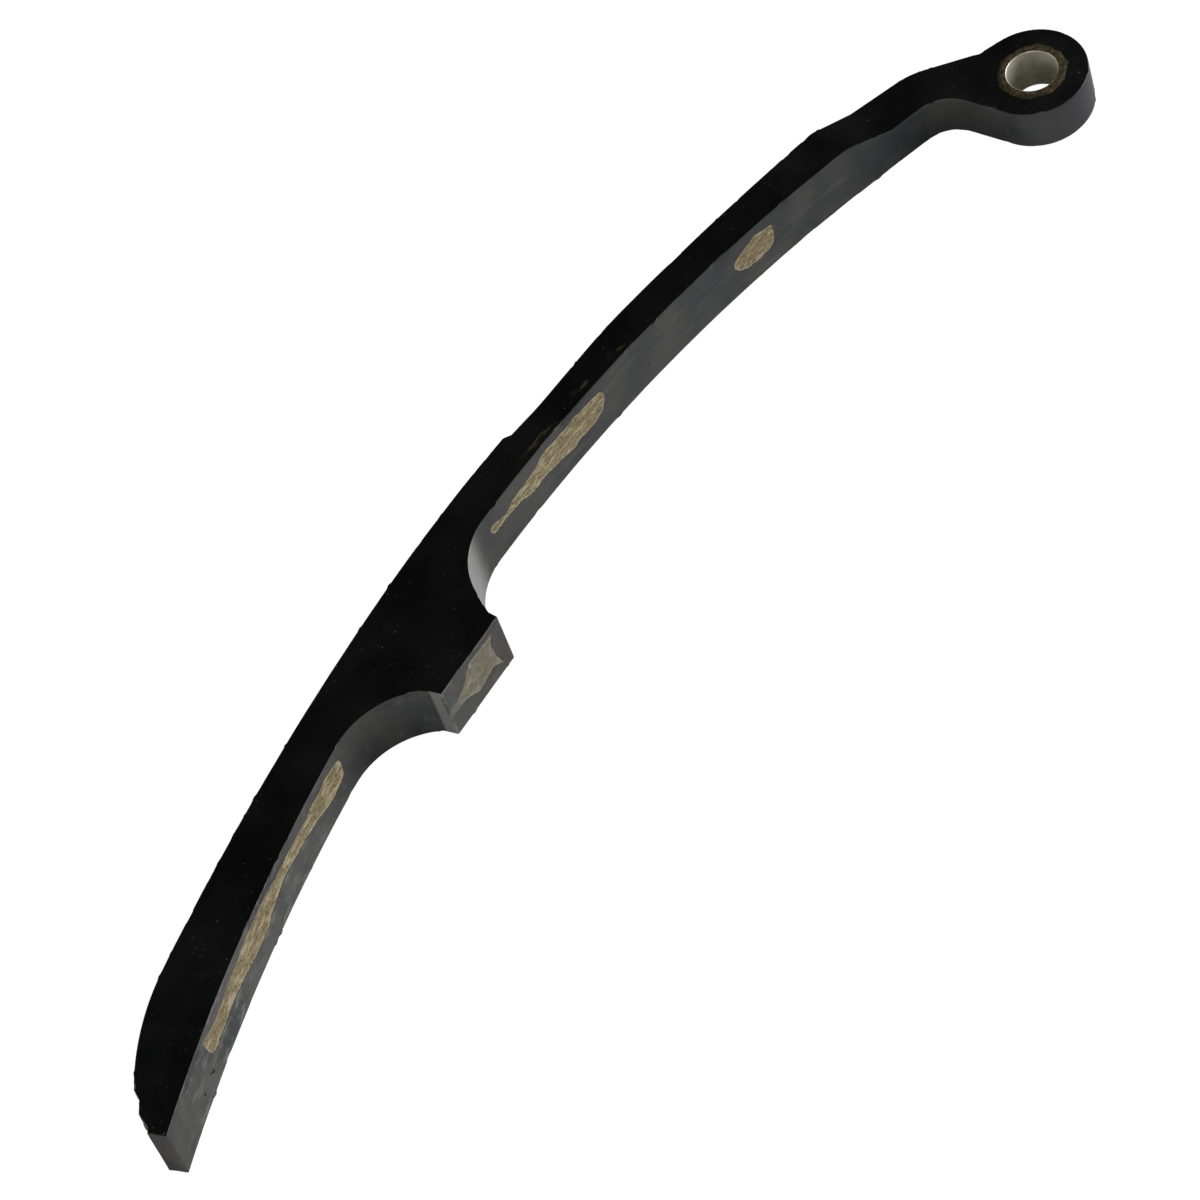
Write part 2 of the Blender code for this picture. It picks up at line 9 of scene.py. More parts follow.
import bmesh
import bpy
from mathutils import Matrix, Vector, kdtree, noise


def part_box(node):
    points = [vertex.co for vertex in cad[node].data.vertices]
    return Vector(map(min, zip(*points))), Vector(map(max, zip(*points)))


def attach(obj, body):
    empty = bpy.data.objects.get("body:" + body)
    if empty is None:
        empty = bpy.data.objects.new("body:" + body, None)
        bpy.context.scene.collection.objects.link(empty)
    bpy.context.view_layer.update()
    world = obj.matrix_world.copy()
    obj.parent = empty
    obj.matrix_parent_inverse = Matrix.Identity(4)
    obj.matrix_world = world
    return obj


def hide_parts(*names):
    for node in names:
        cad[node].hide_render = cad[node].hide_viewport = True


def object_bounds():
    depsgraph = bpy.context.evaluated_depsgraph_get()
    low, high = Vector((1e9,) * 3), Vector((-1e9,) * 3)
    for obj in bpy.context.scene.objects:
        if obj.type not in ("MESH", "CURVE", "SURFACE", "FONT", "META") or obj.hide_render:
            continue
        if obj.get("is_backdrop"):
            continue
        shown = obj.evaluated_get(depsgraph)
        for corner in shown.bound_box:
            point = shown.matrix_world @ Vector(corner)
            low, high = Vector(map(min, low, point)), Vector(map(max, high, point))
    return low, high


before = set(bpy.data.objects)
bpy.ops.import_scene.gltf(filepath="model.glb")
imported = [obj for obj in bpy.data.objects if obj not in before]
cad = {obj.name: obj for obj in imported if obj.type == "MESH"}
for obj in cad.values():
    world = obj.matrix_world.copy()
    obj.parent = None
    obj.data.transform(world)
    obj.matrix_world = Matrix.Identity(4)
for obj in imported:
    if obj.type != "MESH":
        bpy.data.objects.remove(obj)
cad_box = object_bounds()
print("nodes:", sorted(cad))

# %% [markdown]
# The guide's profile is drawn on a flat plane: u runs along the chord from the bush's axis to the
# tip, and v towards the chain. The curves could be read off the CAD mesh, but that is faceted.
# The same arcs are drawn again here, finely enough to look smooth from close by.

# %% Sizes of the eye and the widths
body_low, body_high = (Vector(corner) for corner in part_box("rubber_body"))
bush_low, bush_high = (Vector(corner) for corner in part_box("pivot_bush"))
AXIS = (bush_low + bush_high) / 2
BLADE_WIDTH = body_high.z - body_low.z
BUSH_RADIUS = (bush_high.x - bush_low.x) / 2
BUSH_TOP = (bush_high.z - bush_low.z) / 2
EYE_WIDTH = 0.0088
BORE_RADIUS, EYE_RADIUS = 0.0048, 0.0104
RAMP_START, RAMP_END = 0.0232, 0.0315
print("bush axis:", tuple(round(value, 5) for value in AXIS))

# %% Sizes of the chain side
SHOULDER_ANGLE, SHOULDER_LENGTH = math.radians(22.5), 0.0049
SLOPE_ANGLE, SLOPE_FILLET = math.radians(42.2), 0.0150
CHAIN_NECK_ANGLE = math.radians(18.7)
CHAIN_START, CHAIN_HEADING = Vector((0.0310, 0.02741)), math.radians(10.48)
CHAIN_LEGS = ((0.0600, 0.5965), (0.0600, 0.3252), (0.0813, 0.5091), (0.0234, 0.0515), (0.0090, 0.0169))
WEAR_START, WEAR_DEEPEST, WEAR_STEP, WEAR_STEP_RUN = 0.0800, 0.1070, 0.1133, 0.0010
WEAR_DEPTH, WEAR_STEP_HEIGHT = 0.0012, 0.0009
print("chain face:", len(CHAIN_LEGS), "arcs")

# %% Sizes of the back side and the pad
BACK_START, BACK_HEADING = Vector((0.0320, 0.01923)), math.radians(13.95)
BACK_LEGS = ((0.1150, 0.3280), (0.1124, 0.3730))
BACK_NECK_ANGLE, BACK_NECK_LENGTH = math.radians(22.8), 0.0098
BACK_ROOT_ANGLE, EYE_WEB_ANGLE, NECK_FILLET = math.radians(15.3), math.radians(-6.0), 0.0074
PAD_SHIFT, PAD_HEIGHT, PAD_LENGTH, PAD_TURN = 0.00984, 0.01351, 0.0178, math.radians(2.04)
PAD_SIDE_EYE, PAD_LEAN_EYE = 0.00215, math.radians(-4.1)
PAD_SIDE_TIP, PAD_LEAN_TIP = 0.0030, math.radians(9.6)
PAD_SIDE_FILLET = 0.0018
PAD_FLANK_ANGLE_EYE, PAD_FILLET_EYE = math.radians(118.4), 0.0156
PAD_FLANK_ANGLE_TIP, PAD_FILLET_TIP = math.radians(55.0), 0.0160
FACE_STEP, ARC_STEP = 0.0005, math.radians(2.5)
print("back face:", len(BACK_LEGS), "arcs")

# %% [markdown]
# A few helpers draw arcs and fillets in the plane. They could be curve objects with handles, but
# tangent arcs worked out from lengths and radii keep to the sizes that the real mould had.

# %% Plane geometry


def unit(angle):
    return Vector((math.cos(angle), math.sin(angle)))


def left_of(direction):
    return Vector((-direction.y, direction.x))


def angle_of(direction):
    return math.atan2(direction.y, direction.x)


def at(u, v, z=0.0):
    """A profile point in the frame's own coordinates."""
    return Vector((AXIS.x - u, AXIS.y + v, z))


def meet(point_a, angle_a, point_b, angle_b):
    """Where two lines cross, each through a point at an angle."""
    along, across = unit(angle_a), left_of(unit(angle_b))
    return point_a + along * ((point_b - point_a).dot(across) / along.dot(across))


def arc(centre, radius, start, end):
    count = max(2, math.ceil(abs(end - start) / ARC_STEP))
    return [centre + unit(start + (end - start) * step / count) * radius for step in range(count + 1)]


def legs(start, heading, lengths_and_radii):
    """Points and headings along tangent arcs that bend to the right."""
    path = [(start.copy(), heading)]
    for length, radius in lengths_and_radii:
        steps = math.ceil(length / FACE_STEP)
        turn = length / radius / steps
        for _ in range(steps):
            point = path[-1][0] + unit(heading - turn / 2) * (2 * radius * math.sin(turn / 2))
            heading -= turn
            path.append((point, heading))
    return path


def fillet(before, corner, after, radius):
    """The arc that rounds the corner between two straight edges."""
    to_before, to_after = (before - corner).normalized(), (after - corner).normalized()
    half = to_before.angle(to_after) / 2
    middle = corner + (to_before + to_after).normalized() * (radius / math.sin(half))
    first = corner + to_before * (radius / math.tan(half)) - middle
    last = corner + to_after * (radius / math.tan(half)) - middle
    start = angle_of(first)
    return arc(middle, radius, start, start + math.remainder(angle_of(last) - start, 2 * math.pi))


# %% Places on the back face and the pad
bend, bend_heading = legs(BACK_START, BACK_HEADING, BACK_LEGS[:1])[-1]
tip = legs(BACK_START, BACK_HEADING, BACK_LEGS)[-1][0]
ARC_CENTRES = (
    BACK_START - left_of(unit(BACK_HEADING)) * BACK_LEGS[0][1],
    bend - left_of(unit(bend_heading)) * BACK_LEGS[1][1],
)
PAD_MIDDLE = bend + unit(bend_heading) * PAD_SHIFT - left_of(unit(bend_heading)) * PAD_HEIGHT
PAD_ALONG = unit(bend_heading + PAD_TURN)
PAD_OUT = -left_of(PAD_ALONG)
PAD_EYE_CORNER = PAD_MIDDLE - PAD_ALONG * PAD_LENGTH / 2
PAD_TIP_CORNER = PAD_MIDDLE + PAD_ALONG * PAD_LENGTH / 2


def on_back(station, depth=0.0):
    """The profile point at a distance along the back face, moved into the blade."""
    leg = 0 if station <= BACK_LEGS[0][0] else 1
    radius = BACK_LEGS[leg][1]
    turned = station / radius if leg == 0 else (station - BACK_LEGS[0][0]) / radius
    heading = (BACK_HEADING if leg == 0 else bend_heading) - turned
    return ARC_CENTRES[leg] + left_of(unit(heading)) * (radius + depth)


def on_pad(distance, depth=0.0):
    """The profile point at a distance from the pad's middle towards the tip, moved inwards."""
    return PAD_MIDDLE + PAD_ALONG * distance - PAD_OUT * depth


print("blade tip at", tuple(round(value, 5) for value in tip))

# %% [markdown]
# Now the outline itself: the eye's circle, the neck, the worn chain face and the nose on one
# side, and the back face with the pad on the other.

# %% The chain side


def worn(u):
    """How deep the chain has worn its face at u."""
    if u <= WEAR_START or u > WEAR_STEP:
        return 0.0
    if u <= WEAR_DEEPEST:
        share = (u - WEAR_START) / (WEAR_DEEPEST - WEAR_START)
        return WEAR_DEPTH * share * share * (3 - 2 * share)
    share = (u - WEAR_DEEPEST) / (WEAR_STEP - WEAR_DEEPEST)
    return WEAR_DEPTH + (WEAR_STEP_HEIGHT - WEAR_DEPTH) * share


def chain_side():
    """From the eye over the neck and along the chain face to the nose."""
    shoulder = unit(SHOULDER_ANGLE + math.pi / 2) * EYE_RADIUS
    foot = shoulder + unit(SHOULDER_ANGLE) * SHOULDER_LENGTH
    corner = meet(foot, SLOPE_ANGLE, CHAIN_START, CHAIN_NECK_ANGLE)
    points = [foot] + fillet(foot, corner, CHAIN_START, SLOPE_FILLET)
    path = legs(CHAIN_START, CHAIN_HEADING, CHAIN_LEGS)
    for (point, heading), (ahead, _) in zip(path, path[1:] + path[-1:]):
        points.append(point - left_of(unit(heading)) * worn(point.x))
        if point.x < WEAR_STEP <= ahead.x:
            rise = (ahead - point) / (ahead.x - point.x)
            foot = point + rise * (WEAR_STEP - point.x)
            points += [foot - left_of(unit(heading)) * WEAR_STEP_HEIGHT, foot + rise * WEAR_STEP_RUN]
    return [point for point in points if not WEAR_STEP < point.x < WEAR_STEP + WEAR_STEP_RUN]


# %% The back side


def flank(corner, angle, radius, leg, side):
    """A pad flank's fillet, from the pad's side to where it touches the back face."""
    along, inward = unit(angle), left_of(unit(angle)) * side
    offset = corner + inward * radius - ARC_CENTRES[leg]
    half = offset.dot(along)
    reach = math.sqrt(half * half - offset.length_squared + (BACK_LEGS[leg][1] - radius) ** 2) - half
    centre = corner + inward * radius + along * reach
    start = angle_of(-inward)
    turn = math.remainder(angle_of(centre - ARC_CENTRES[leg]) - start, 2 * math.pi)
    return arc(centre, radius, start, start + turn)


def back_side():
    """From the eye's web along the back face, round the pad, to the tip."""
    web = unit(EYE_WEB_ANGLE) * EYE_RADIUS
    knee = BACK_START - unit(BACK_NECK_ANGLE) * BACK_NECK_LENGTH
    corner = meet(web, EYE_WEB_ANGLE + math.pi / 2, knee, BACK_ROOT_ANGLE)
    inward = angle_of(-PAD_OUT)
    eye_root = PAD_EYE_CORNER + unit(inward - PAD_LEAN_EYE) * PAD_SIDE_EYE
    tip_root = PAD_TIP_CORNER + unit(inward - PAD_LEAN_TIP) * PAD_SIDE_TIP
    eye_flank = flank(eye_root, PAD_FLANK_ANGLE_EYE, PAD_FILLET_EYE, 0, 1)
    tip_flank = flank(tip_root, PAD_FLANK_ANGLE_TIP, PAD_FILLET_TIP, 1, -1)
    face = [point for point, _ in legs(BACK_START, BACK_HEADING, BACK_LEGS)]
    before = [point for point in face if point.x < eye_flank[-1].x - FACE_STEP / 4]
    after = [point for point in face if point.x > tip_flank[-1].x + FACE_STEP / 4]
    pad = fillet(eye_flank[0], eye_root, PAD_EYE_CORNER, PAD_SIDE_FILLET) + [PAD_EYE_CORNER]
    pad += [PAD_TIP_CORNER] + fillet(PAD_TIP_CORNER, tip_root, tip_flank[0], PAD_SIDE_FILLET)
    neck = fillet(web, corner, knee, NECK_FILLET) + [knee]
    return neck + before + eye_flank[::-1] + pad + tip_flank + after


# %% The whole outline


def evenly(points, step):
    """A closed path with its long straight stretches divided, and its own points kept."""
    path = []
    for near, far in zip(points, points[1:] + points[:1]):
        count = max(1, math.ceil((far - near).length / step))
        path += [near.lerp(far, index / count) for index in range(count)]
    return path


eye_arc = arc(Vector((0, 0)), EYE_RADIUS, SHOULDER_ANGLE + math.pi / 2, EYE_WEB_ANGLE + 2 * math.pi)
outline = evenly(chain_side()[::-1] + eye_arc + back_side(), FACE_STEP)
print("outline:", len(outline), "points")

# %% [markdown]
# The camera stands where the photographer stood: high on the back side, with a long lens. It
# could be aimed by a constraint, but fixed directions keep the picture's lean to the degree.

# %% Camera
CAMERA_PLACE = (-0.30289, -0.41767, 0.64694)
CAMERA_RIGHT = (0.589206, -0.776441, -0.223551)
CAMERA_UP = (0.722775, 0.382824, 0.575363)
LENS_MM, SENSOR_MM = 141.0, 36.0


def placed(name, data):
    """A new object in the scene."""
    made = bpy.data.objects.new(name, data)
    bpy.context.scene.collection.objects.link(made)
    return made


right, up = Vector(CAMERA_RIGHT), Vector(CAMERA_UP)
turned_to = Matrix((right, up, right.cross(up))).transposed().to_4x4()
lens = bpy.data.cameras.new("photo_camera")
lens.lens = LENS_MM
lens.sensor_width = SENSOR_MM
lens.clip_start = 0.01
camera = placed("photo_camera", lens)
camera.matrix_world = Matrix.Translation(CAMERA_PLACE) @ turned_to
bpy.context.scene.camera = camera
print("camera at", CAMERA_PLACE)

# %% [markdown]
# Materials are built from shader nodes. These small helpers add a node and link or set its
# sockets by name; a socket knows its tree, so the tree is seldom named. Each node could be placed
# by hand, but a helper keeps a recipe on a few lines.

# %% Helpers for shader nodes
def join(value, socket):
    """Links a socket's value, or sets a plain one."""
    if isinstance(value, bpy.types.NodeSocket):
        socket.id_data.links.new(value, socket)
    elif socket.type == "RGBA" and len(value) == 3:
        socket.default_value = (*value, 1)
    else:
        socket.default_value = value


def fill(node, **values):
    """Links or sets a node's sockets by name."""
    for name, value in values.items():
        join(value, node.inputs[name.replace("_", " ")])


def put(tree, kind, **settings):
    """Adds a node: names with a capital are its sockets, and the others its options."""
    made = tree.nodes.new("ShaderNode" + kind)
    for name, value in settings.items():
        if name[0].isupper():
            fill(made, **{name: value})
        else:
            setattr(made, name, value)
    return made


def put_over(kind, operation, values):
    """Adds a node for an operation over some values, in the tree of the first socket."""
    tree = next(value.id_data for value in values if isinstance(value, bpy.types.NodeSocket))
    made = put(tree, kind, operation=operation)
    for socket, value in zip(made.inputs, values):
        join(value, socket)
    return made


def reckon(operation, *values):
    """One Math node over sockets and numbers."""
    return put_over("Math", operation, values).outputs[0]


def measure(operation, *vectors):
    """One Vector Math node that makes a number."""
    return put_over("VectorMath", operation, vectors).outputs["Value"]


def both(*masks):
    """Masks multiplied together."""
    product = masks[0]
    for mask in masks[1:]:
        product = reckon("MULTIPLY", product, mask)
    return product


def band(value, low, high, from_low=0.0, from_high=1.0):
    """A value's share between two limits, spread smoothly over a new range."""
    made = put(
        value.id_data, "MapRange", interpolation_type="SMOOTHSTEP", Value=value,
        From_Min=low, From_Max=high, To_Min=from_low, To_Max=from_high,
    )
    return made.outputs["Result"]


def near_to(value, middle, reach):
    """A soft mask of one where a value is at the middle, and none past the reach."""
    away = reckon("ABSOLUTE", reckon("SUBTRACT", value, middle))
    return band(away, reach, reach * 0.5)


def stretch_of(value, start, full, fading, end):
    """A mask of one from full to fading, and none before the start and past the end."""
    return both(band(value, start, full), band(value, end, fading))


def blend_of(share, first, second):
    """A colour between two, by a mask."""
    made = put(share.id_data, "Mix", data_type="RGBA", Factor=share)
    join(first, made.inputs[6])
    join(second, made.inputs[7])
    return made.outputs[2]


def layered(colour, *layers):
    """A colour with others laid over it in turn, each by its own mask."""
    for share, over in layers:
        colour = blend_of(share, colour, over)
    return colour


def flat_place(tree):
    """The object's own coordinates, one by one, and the same laid flat."""
    split = put(tree, "SeparateXYZ", Vector=put(tree, "TexCoord").outputs["Object"]).outputs
    return split, put(tree, "CombineXYZ", X=split["X"], Y=split["Y"]).outputs[0]


def facing_of(tree):
    """The way a face points, one axis at a time."""
    return put(tree, "SeparateXYZ", Vector=put(tree, "NewGeometry").outputs["True Normal"]).outputs


def bump_of(strength, distance, height):
    """Relief from a height."""
    return put(height.id_data, "Bump", Strength=strength, Distance=distance, Height=height).outputs[0]


def for_camera(tree, usual, shown, output, most=1.0):
    """Mixes in a shader that only the camera sees, up to a share, and links the output."""
    seen = reckon("MULTIPLY", put(tree, "LightPath").outputs["Is Camera Ray"], most)
    mixed = put(tree, "MixShader", Fac=seen)
    for source, socket in ((usual, mixed.inputs[1]), (shown, mixed.inputs[2]), (mixed, output)):
        join(source.outputs[0], socket)


def new_group(name, inputs, outputs):
    """A shader group: its tree, its input sockets by name and its output node's sockets."""
    tree = bpy.data.node_groups.new(name, "ShaderNodeTree")
    for names, side in ((inputs, "INPUT"), (outputs, "OUTPUT")):
        for socket in names:
            tree.interface.new_socket(socket, in_out=side, socket_type="NodeSocketFloat")
    return tree, tree.nodes.new("NodeGroupInput").outputs, tree.nodes.new("NodeGroupOutput").inputs


def use(tree, group, **settings):
    """Places a group in a material, with its own values."""
    return put(tree, "Group", node_tree=group, **settings).outputs


def new_material(name):
    material = bpy.data.materials.new(name)
    material.use_nodes = True
    return material, material.node_tree, material.node_tree.nodes["Principled BSDF"]


print("shader helpers ready")

# %% [markdown]
# The photo's floor is plain white, without a shadow, as catalogue pictures are cut out. The black
# rubber still mirrors a mid grey table. A brighter lamp could whiten the table, but then the
# mirror images would be too light, so the floor is matt grey that glows white only for the lens.

# %% Floor
FLOOR_SIZE, FLOOR_DROP = 6.0, 0.00004
FLOOR_GREY, FLOOR_GLOW, GLOW_SHARE = 0.85, 1.16, 0.86
FLOOR_ROUGHNESS = 0.9

form = bmesh.new()
bmesh.ops.create_grid(form, x_segments=1, y_segments=1, size=FLOOR_SIZE / 2)
bmesh.ops.translate(form, verts=form.verts, vec=(0, 0, -FLOOR_DROP))
sheet = bpy.data.meshes.new("floor")
form.to_mesh(sheet)
form.free()
floor = placed("floor", sheet)
paint, tree, matt = new_material("floor_paint")
fill(matt, Base_Color=(FLOOR_GREY,) * 3, Roughness=FLOOR_ROUGHNESS, Specular_IOR_Level=0.0)
glow = put(tree, "Emission", Color=(1, 1, 1), Strength=FLOOR_GLOW)
for_camera(tree, matt, glow, tree.nodes["Material Output"].inputs["Surface"], GLOW_SHARE)
sheet.materials.append(paint)
floor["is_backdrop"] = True
print("floor:", FLOOR_SIZE, "m")

# %% [markdown]
# One large soft box stands low at the eye's end. It could hang overhead, but then the flat top
# face would mirror it, and in the photo that face is black. A weak one lights the chain side.

# %% Soft boxes and surroundings
SOFT_BOXES = (
    ("eye_end_box", (0.95, -0.46, 0.46), 0.80, 18.5),
    ("chain_side_box", (-0.60, 0.95, 0.40), 0.70, 5.0),
    ("tip_end_box", (-0.95, -0.75, 0.40), 0.70, 7.0),
)
AIR_COLOUR, AIR_STRENGTH, BACKDROP = (0.55, 0.72, 1.0), 0.022, (1, 1, 1)

for name, place, size, power in SOFT_BOXES:
    light = bpy.data.lights.new(name, "AREA")
    light.shape = "DISK"
    light.size = size
    light.energy = power
    box = placed(name, light)
    box.location = place
    box.rotation_euler = (-Vector(place)).to_track_quat("-Z", "Y").to_euler()
world = bpy.data.worlds.new("studio")
world.use_nodes = True
tree = world.node_tree
air = tree.nodes["Background"]
fill(air, Color=AIR_COLOUR, Strength=AIR_STRENGTH)
backdrop = put(tree, "Background", Color=BACKDROP, Strength=1.0)
for_camera(tree, air, backdrop, tree.nodes["World Output"].inputs["Surface"])
bpy.context.scene.world = world
bpy.context.scene.view_settings.view_transform = "Standard"
print("soft boxes:", len(SOFT_BOXES))

# %% [markdown]
# Marks on the blade follow its curve. This group turns a point into its depth from the back face,
# from the two arcs that the face is made of, and its distance u from the bush's axis. An unwrapped
# map could do it too, but the arcs are known, and plain arithmetic on them has no seams.

# %% Group: place on the blade
place_group, _, outs = new_group("blade_place", (), ("Along", "Depth", "Height"))
split, flat = flat_place(place_group)
along = reckon("SUBTRACT", AXIS.x, split["X"])
depths = [
    reckon("SUBTRACT", measure("DISTANCE", flat, at(*centre)), radius)
    for centre, (_, radius) in zip(ARC_CENTRES, BACK_LEGS)
]
past_bend = reckon("GREATER_THAN", along, bend.x)
depth = put(place_group, "Mix", data_type="FLOAT", Factor=past_bend, A=depths[0], B=depths[1])
for name, value in (("Along", along), ("Depth", depth.outputs[0]), ("Height", split["Z"])):
    join(value, outs[name])
print("place group:", len(place_group.nodes), "nodes")

# %% [markdown]
# Nothing moulded is even: a fine grain lies over a slow swell. Both come from noise on the
# object's own coordinates. A picture of rubber could be mapped on, but noise has no seams and
# stays sharp at any distance.

# %% Group: grain
grain_group, ins, outs = new_group("moulded_grain", ("Fine", "Slow"), ("Grain", "Cloud"))
coords = put(grain_group, "TexCoord").outputs["Object"]
fine = put(grain_group, "TexNoise", Vector=coords, Scale=ins["Fine"], Detail=3.0, Roughness=0.6)
slow = put(grain_group, "TexNoise", Vector=coords, Scale=ins["Slow"], Detail=5.0, Roughness=0.62)
join(fine.outputs[0], outs["Grain"])
join(slow.outputs[0], outs["Cloud"])
print("grain group:", len(grain_group.nodes), "nodes")

# %% [markdown]
# Oil and age leave marks drawn out along the blade. This group is noise on the blade's own
# coordinates, squeezed along its length, so that the marks bend with it.

# %% Group: streaks
streak_group, ins, outs = new_group("drawn_out_streaks", ("Scale", "Stretch"), ("Streak",))
place = use(streak_group, place_group)
slowed = reckon("DIVIDE", place["Along"], ins["Stretch"])
spot = put(streak_group, "CombineXYZ", X=slowed, Y=place["Depth"], Z=place["Height"])
spot = spot.outputs[0]
drawn = put(streak_group, "TexNoise", Vector=spot, Scale=ins["Scale"], Detail=4.0, Roughness=0.65)
join(drawn.outputs[0], outs["Streak"])
print("streak group:", len(streak_group.nodes), "nodes")

# %% [markdown]
# Dust clings to rubber in tiny specks of unlike sizes. A Voronoi texture puts one point in each
# cell: a share of the cells is chosen by chance, and chance sets the speck's size too.

# %% Group: specks of dust
speck_group, ins, outs = new_group("specks", ("Scale", "Share", "Size"), ("Mask",))
coords = put(speck_group, "TexCoord").outputs["Object"]
cells = put(speck_group, "TexVoronoi", voronoi_dimensions="2D", Vector=coords, Scale=ins["Scale"])
chance = put(speck_group, "SeparateColor", Color=cells.outputs["Color"]).outputs
chosen = reckon("LESS_THAN", chance["Red"], ins["Share"])
reach = reckon("MULTIPLY", ins["Size"], chance["Green"])
near = reckon("LESS_THAN", cells.outputs["Distance"], reach)
strength = reckon("MULTIPLY", near, chance["Blue"])
join(reckon("MULTIPLY", chosen, strength), outs["Mask"])
print("speck group:", len(speck_group.nodes), "nodes")

# %% [markdown]
# The rubber is close to black, and most of what the eye sees on it is the table's mirror image.
# Its flat sides carry fine dust and, beside the middle opening, ochre smears of bonding agent.

# %% Rubber: the flat sides
SIDE_BLACK, DUST_COLOUR = (0.0020, 0.0018, 0.0014), (0.085, 0.082, 0.070)
SMEAR_COLOUR = (0.050, 0.037, 0.014)
SMEAR_DEPTH, SMEAR_WIDTH, SMEAR_RUN = 0.0016, 0.0009, (0.083, 0.088, 0.113, 0.119)

rubber, tree, shader = new_material("black_rubber")
place = use(tree, place_group)
grain = use(tree, grain_group, Fine=2600.0, Slow=75.0)
facing = facing_of(tree)
on_side = band(reckon("ABSOLUTE", facing["Z"]), 0.80, 0.95)
dust = use(tree, speck_group, Scale=620.0, Share=0.85, Size=0.090)["Mask"]
clusters = use(tree, grain_group, Fine=2600.0, Slow=160.0)["Cloud"]
smear = use(tree, streak_group, Scale=900.0, Stretch=4.0)["Streak"]
smear_run = both(near_to(place["Depth"], SMEAR_DEPTH, SMEAR_WIDTH), stretch_of(place["Along"], *SMEAR_RUN))
side_colour = layered(
    SIDE_BLACK,
    (both(dust, band(clusters, 0.42, 0.60)), DUST_COLOUR),
    (both(smear_run, band(smear, 0.55, 0.66)), SMEAR_COLOUR),
)
print("side dust and smears ready")

# %% [markdown]
# The back face wears a thin grey film, cloudy and drawn out along the blade. Towards the eye its
# colour is darkened by painted shade. The film is thickest near the tip, with a darker blot past
# the last opening. The end face is brownish where the rubber was cut. Each layer is a mask and a
# colour, laid over the one before.

# %% Rubber: the back face
EYE_PAINTED_SHADE_END, TIP_FILM = 0.018, (0.17, 0.21, 0.243, 0.256)
BLOT_ALONG, BLOT_LONG, BLOT_HEIGHT, BLOT_WIDE = 0.2375, 0.0012, 0.0076, 0.0026
END_FACE_DEPTH = 0.0002

film = band(grain["Cloud"], 0.34, 0.66)
lengthwise = use(tree, streak_group, Scale=420.0, Stretch=7.0)["Streak"]
blot = both(near_to(place["Along"], BLOT_ALONG, BLOT_LONG), near_to(place["Height"], BLOT_HEIGHT, BLOT_WIDE))
lint = use(tree, speck_group, Scale=260.0, Share=0.5, Size=0.05)["Mask"]
# Painted shade: the back face's colour darkens towards the eye.
eye_painted_shade = reckon("MULTIPLY", band(place["Along"], EYE_PAINTED_SHADE_END, 0.0), 0.85)
toward_tip = stretch_of(place["Along"], *TIP_FILM)
wiped = use(tree, streak_group, Scale=520.0, Stretch=2.2)["Streak"]
at_end = band(place["Along"], tip.x - END_FACE_DEPTH, tip.x + END_FACE_DEPTH)
end_colour = blend_of(band(grain["Cloud"], 0.4, 0.6), (0.016, 0.013, 0.009), (0.040, 0.034, 0.026))
face_colour = layered(
    (0.010, 0.011, 0.013),
    (film, (0.036, 0.036, 0.032)),
    (band(lengthwise, 0.52, 0.70, 0.0, 0.7), (0.056, 0.056, 0.050)),
    (blot, (0.002, 0.002, 0.002)),
    (both(lint, film), (0.09, 0.09, 0.08)),
    (eye_painted_shade, (0.004, 0.004, 0.007)),
    (both(toward_tip, film), (0.060, 0.060, 0.054)),
    (both(toward_tip, band(wiped, 0.50, 0.66, 0.0, 0.75)), (0.120, 0.120, 0.108)),
    (both(at_end, band(facing["X"], -0.6, -0.75)), end_colour),
)
print("back face film ready")

# %% [markdown]
# The tensioner's plunger has rubbed the pad. Its face is lighter towards the tip, brown near the
# eye, and pale along its worn edges. Each zone is a mask on the pad's own direction.

# %% Rubber: the pad
SMUDGE_HEIGHT, SMUDGE_WIDTH, SMUDGE_ALONG, SMUDGE_LENGTH = 0.0060, 0.0014, 0.006, 0.004

own_place = put(tree, "TexCoord").outputs["Object"]


def from_pad(direction):
    """How far a point lies from the pad's middle, in a direction of the profile."""
    turned_over = Vector((-direction.x, direction.y, 0))
    along = measure("DOT_PRODUCT", own_place, turned_over)
    return reckon("SUBTRACT", along, at(*PAD_MIDDLE).dot(turned_over))


pad_run, pad_rise = from_pad(PAD_ALONG), from_pad(PAD_OUT)
half_pad = PAD_LENGTH / 2
beside_pad = near_to(pad_run, 0.0, PAD_LENGTH * 0.8)
scuff = use(tree, grain_group, Fine=1400.0, Slow=330.0)["Cloud"]
smudge = both(
    near_to(place["Height"], SMUDGE_HEIGHT, SMUDGE_WIDTH),
    near_to(pad_run, SMUDGE_ALONG, SMUDGE_LENGTH),
    band(pad_run, 0.0045, 0.0060),
)
pad_colour = layered(
    (0.034, 0.030, 0.024),
    (band(pad_run, -0.0052, 0.0080), (0.040, 0.042, 0.037)),
    (band(scuff, 0.50, 0.70, 0.0, 0.5), (0.065, 0.066, 0.060)),
    (smudge, (0.090, 0.088, 0.078)),
)
on_pad_face = both(band(pad_rise, -0.0006, -0.0002), beside_pad)
face_colour = blend_of(on_pad_face, face_colour, pad_colour)
print("pad zones ready")

# %% [markdown]
# Corners rub first, and worn rubber turns pale. A mask from the distance to each of the pad's two
# upright corners and to its long edges draws them. Along the long edges the pale is partly a
# painted highlight, and a pale strip on the pad's tip side is a painted highlight. A pointiness
# node could draw the corners, but it would depend on the mesh, not on where the real part rubs.

# %% Rubber: pale worn corners, painted edge highlights
WORN_REACH, RIM_INSET, RIM_WEAR_AND_HIGHLIGHT_REACH, RIM_SHARE = 0.00034, 0.0001, 0.00022, 0.4
STRIP_DEPTH, STRIP_REACH, STRIP_OUT, STRIP_WIDTH = 0.0014, 0.0013, 0.0004, 0.0012

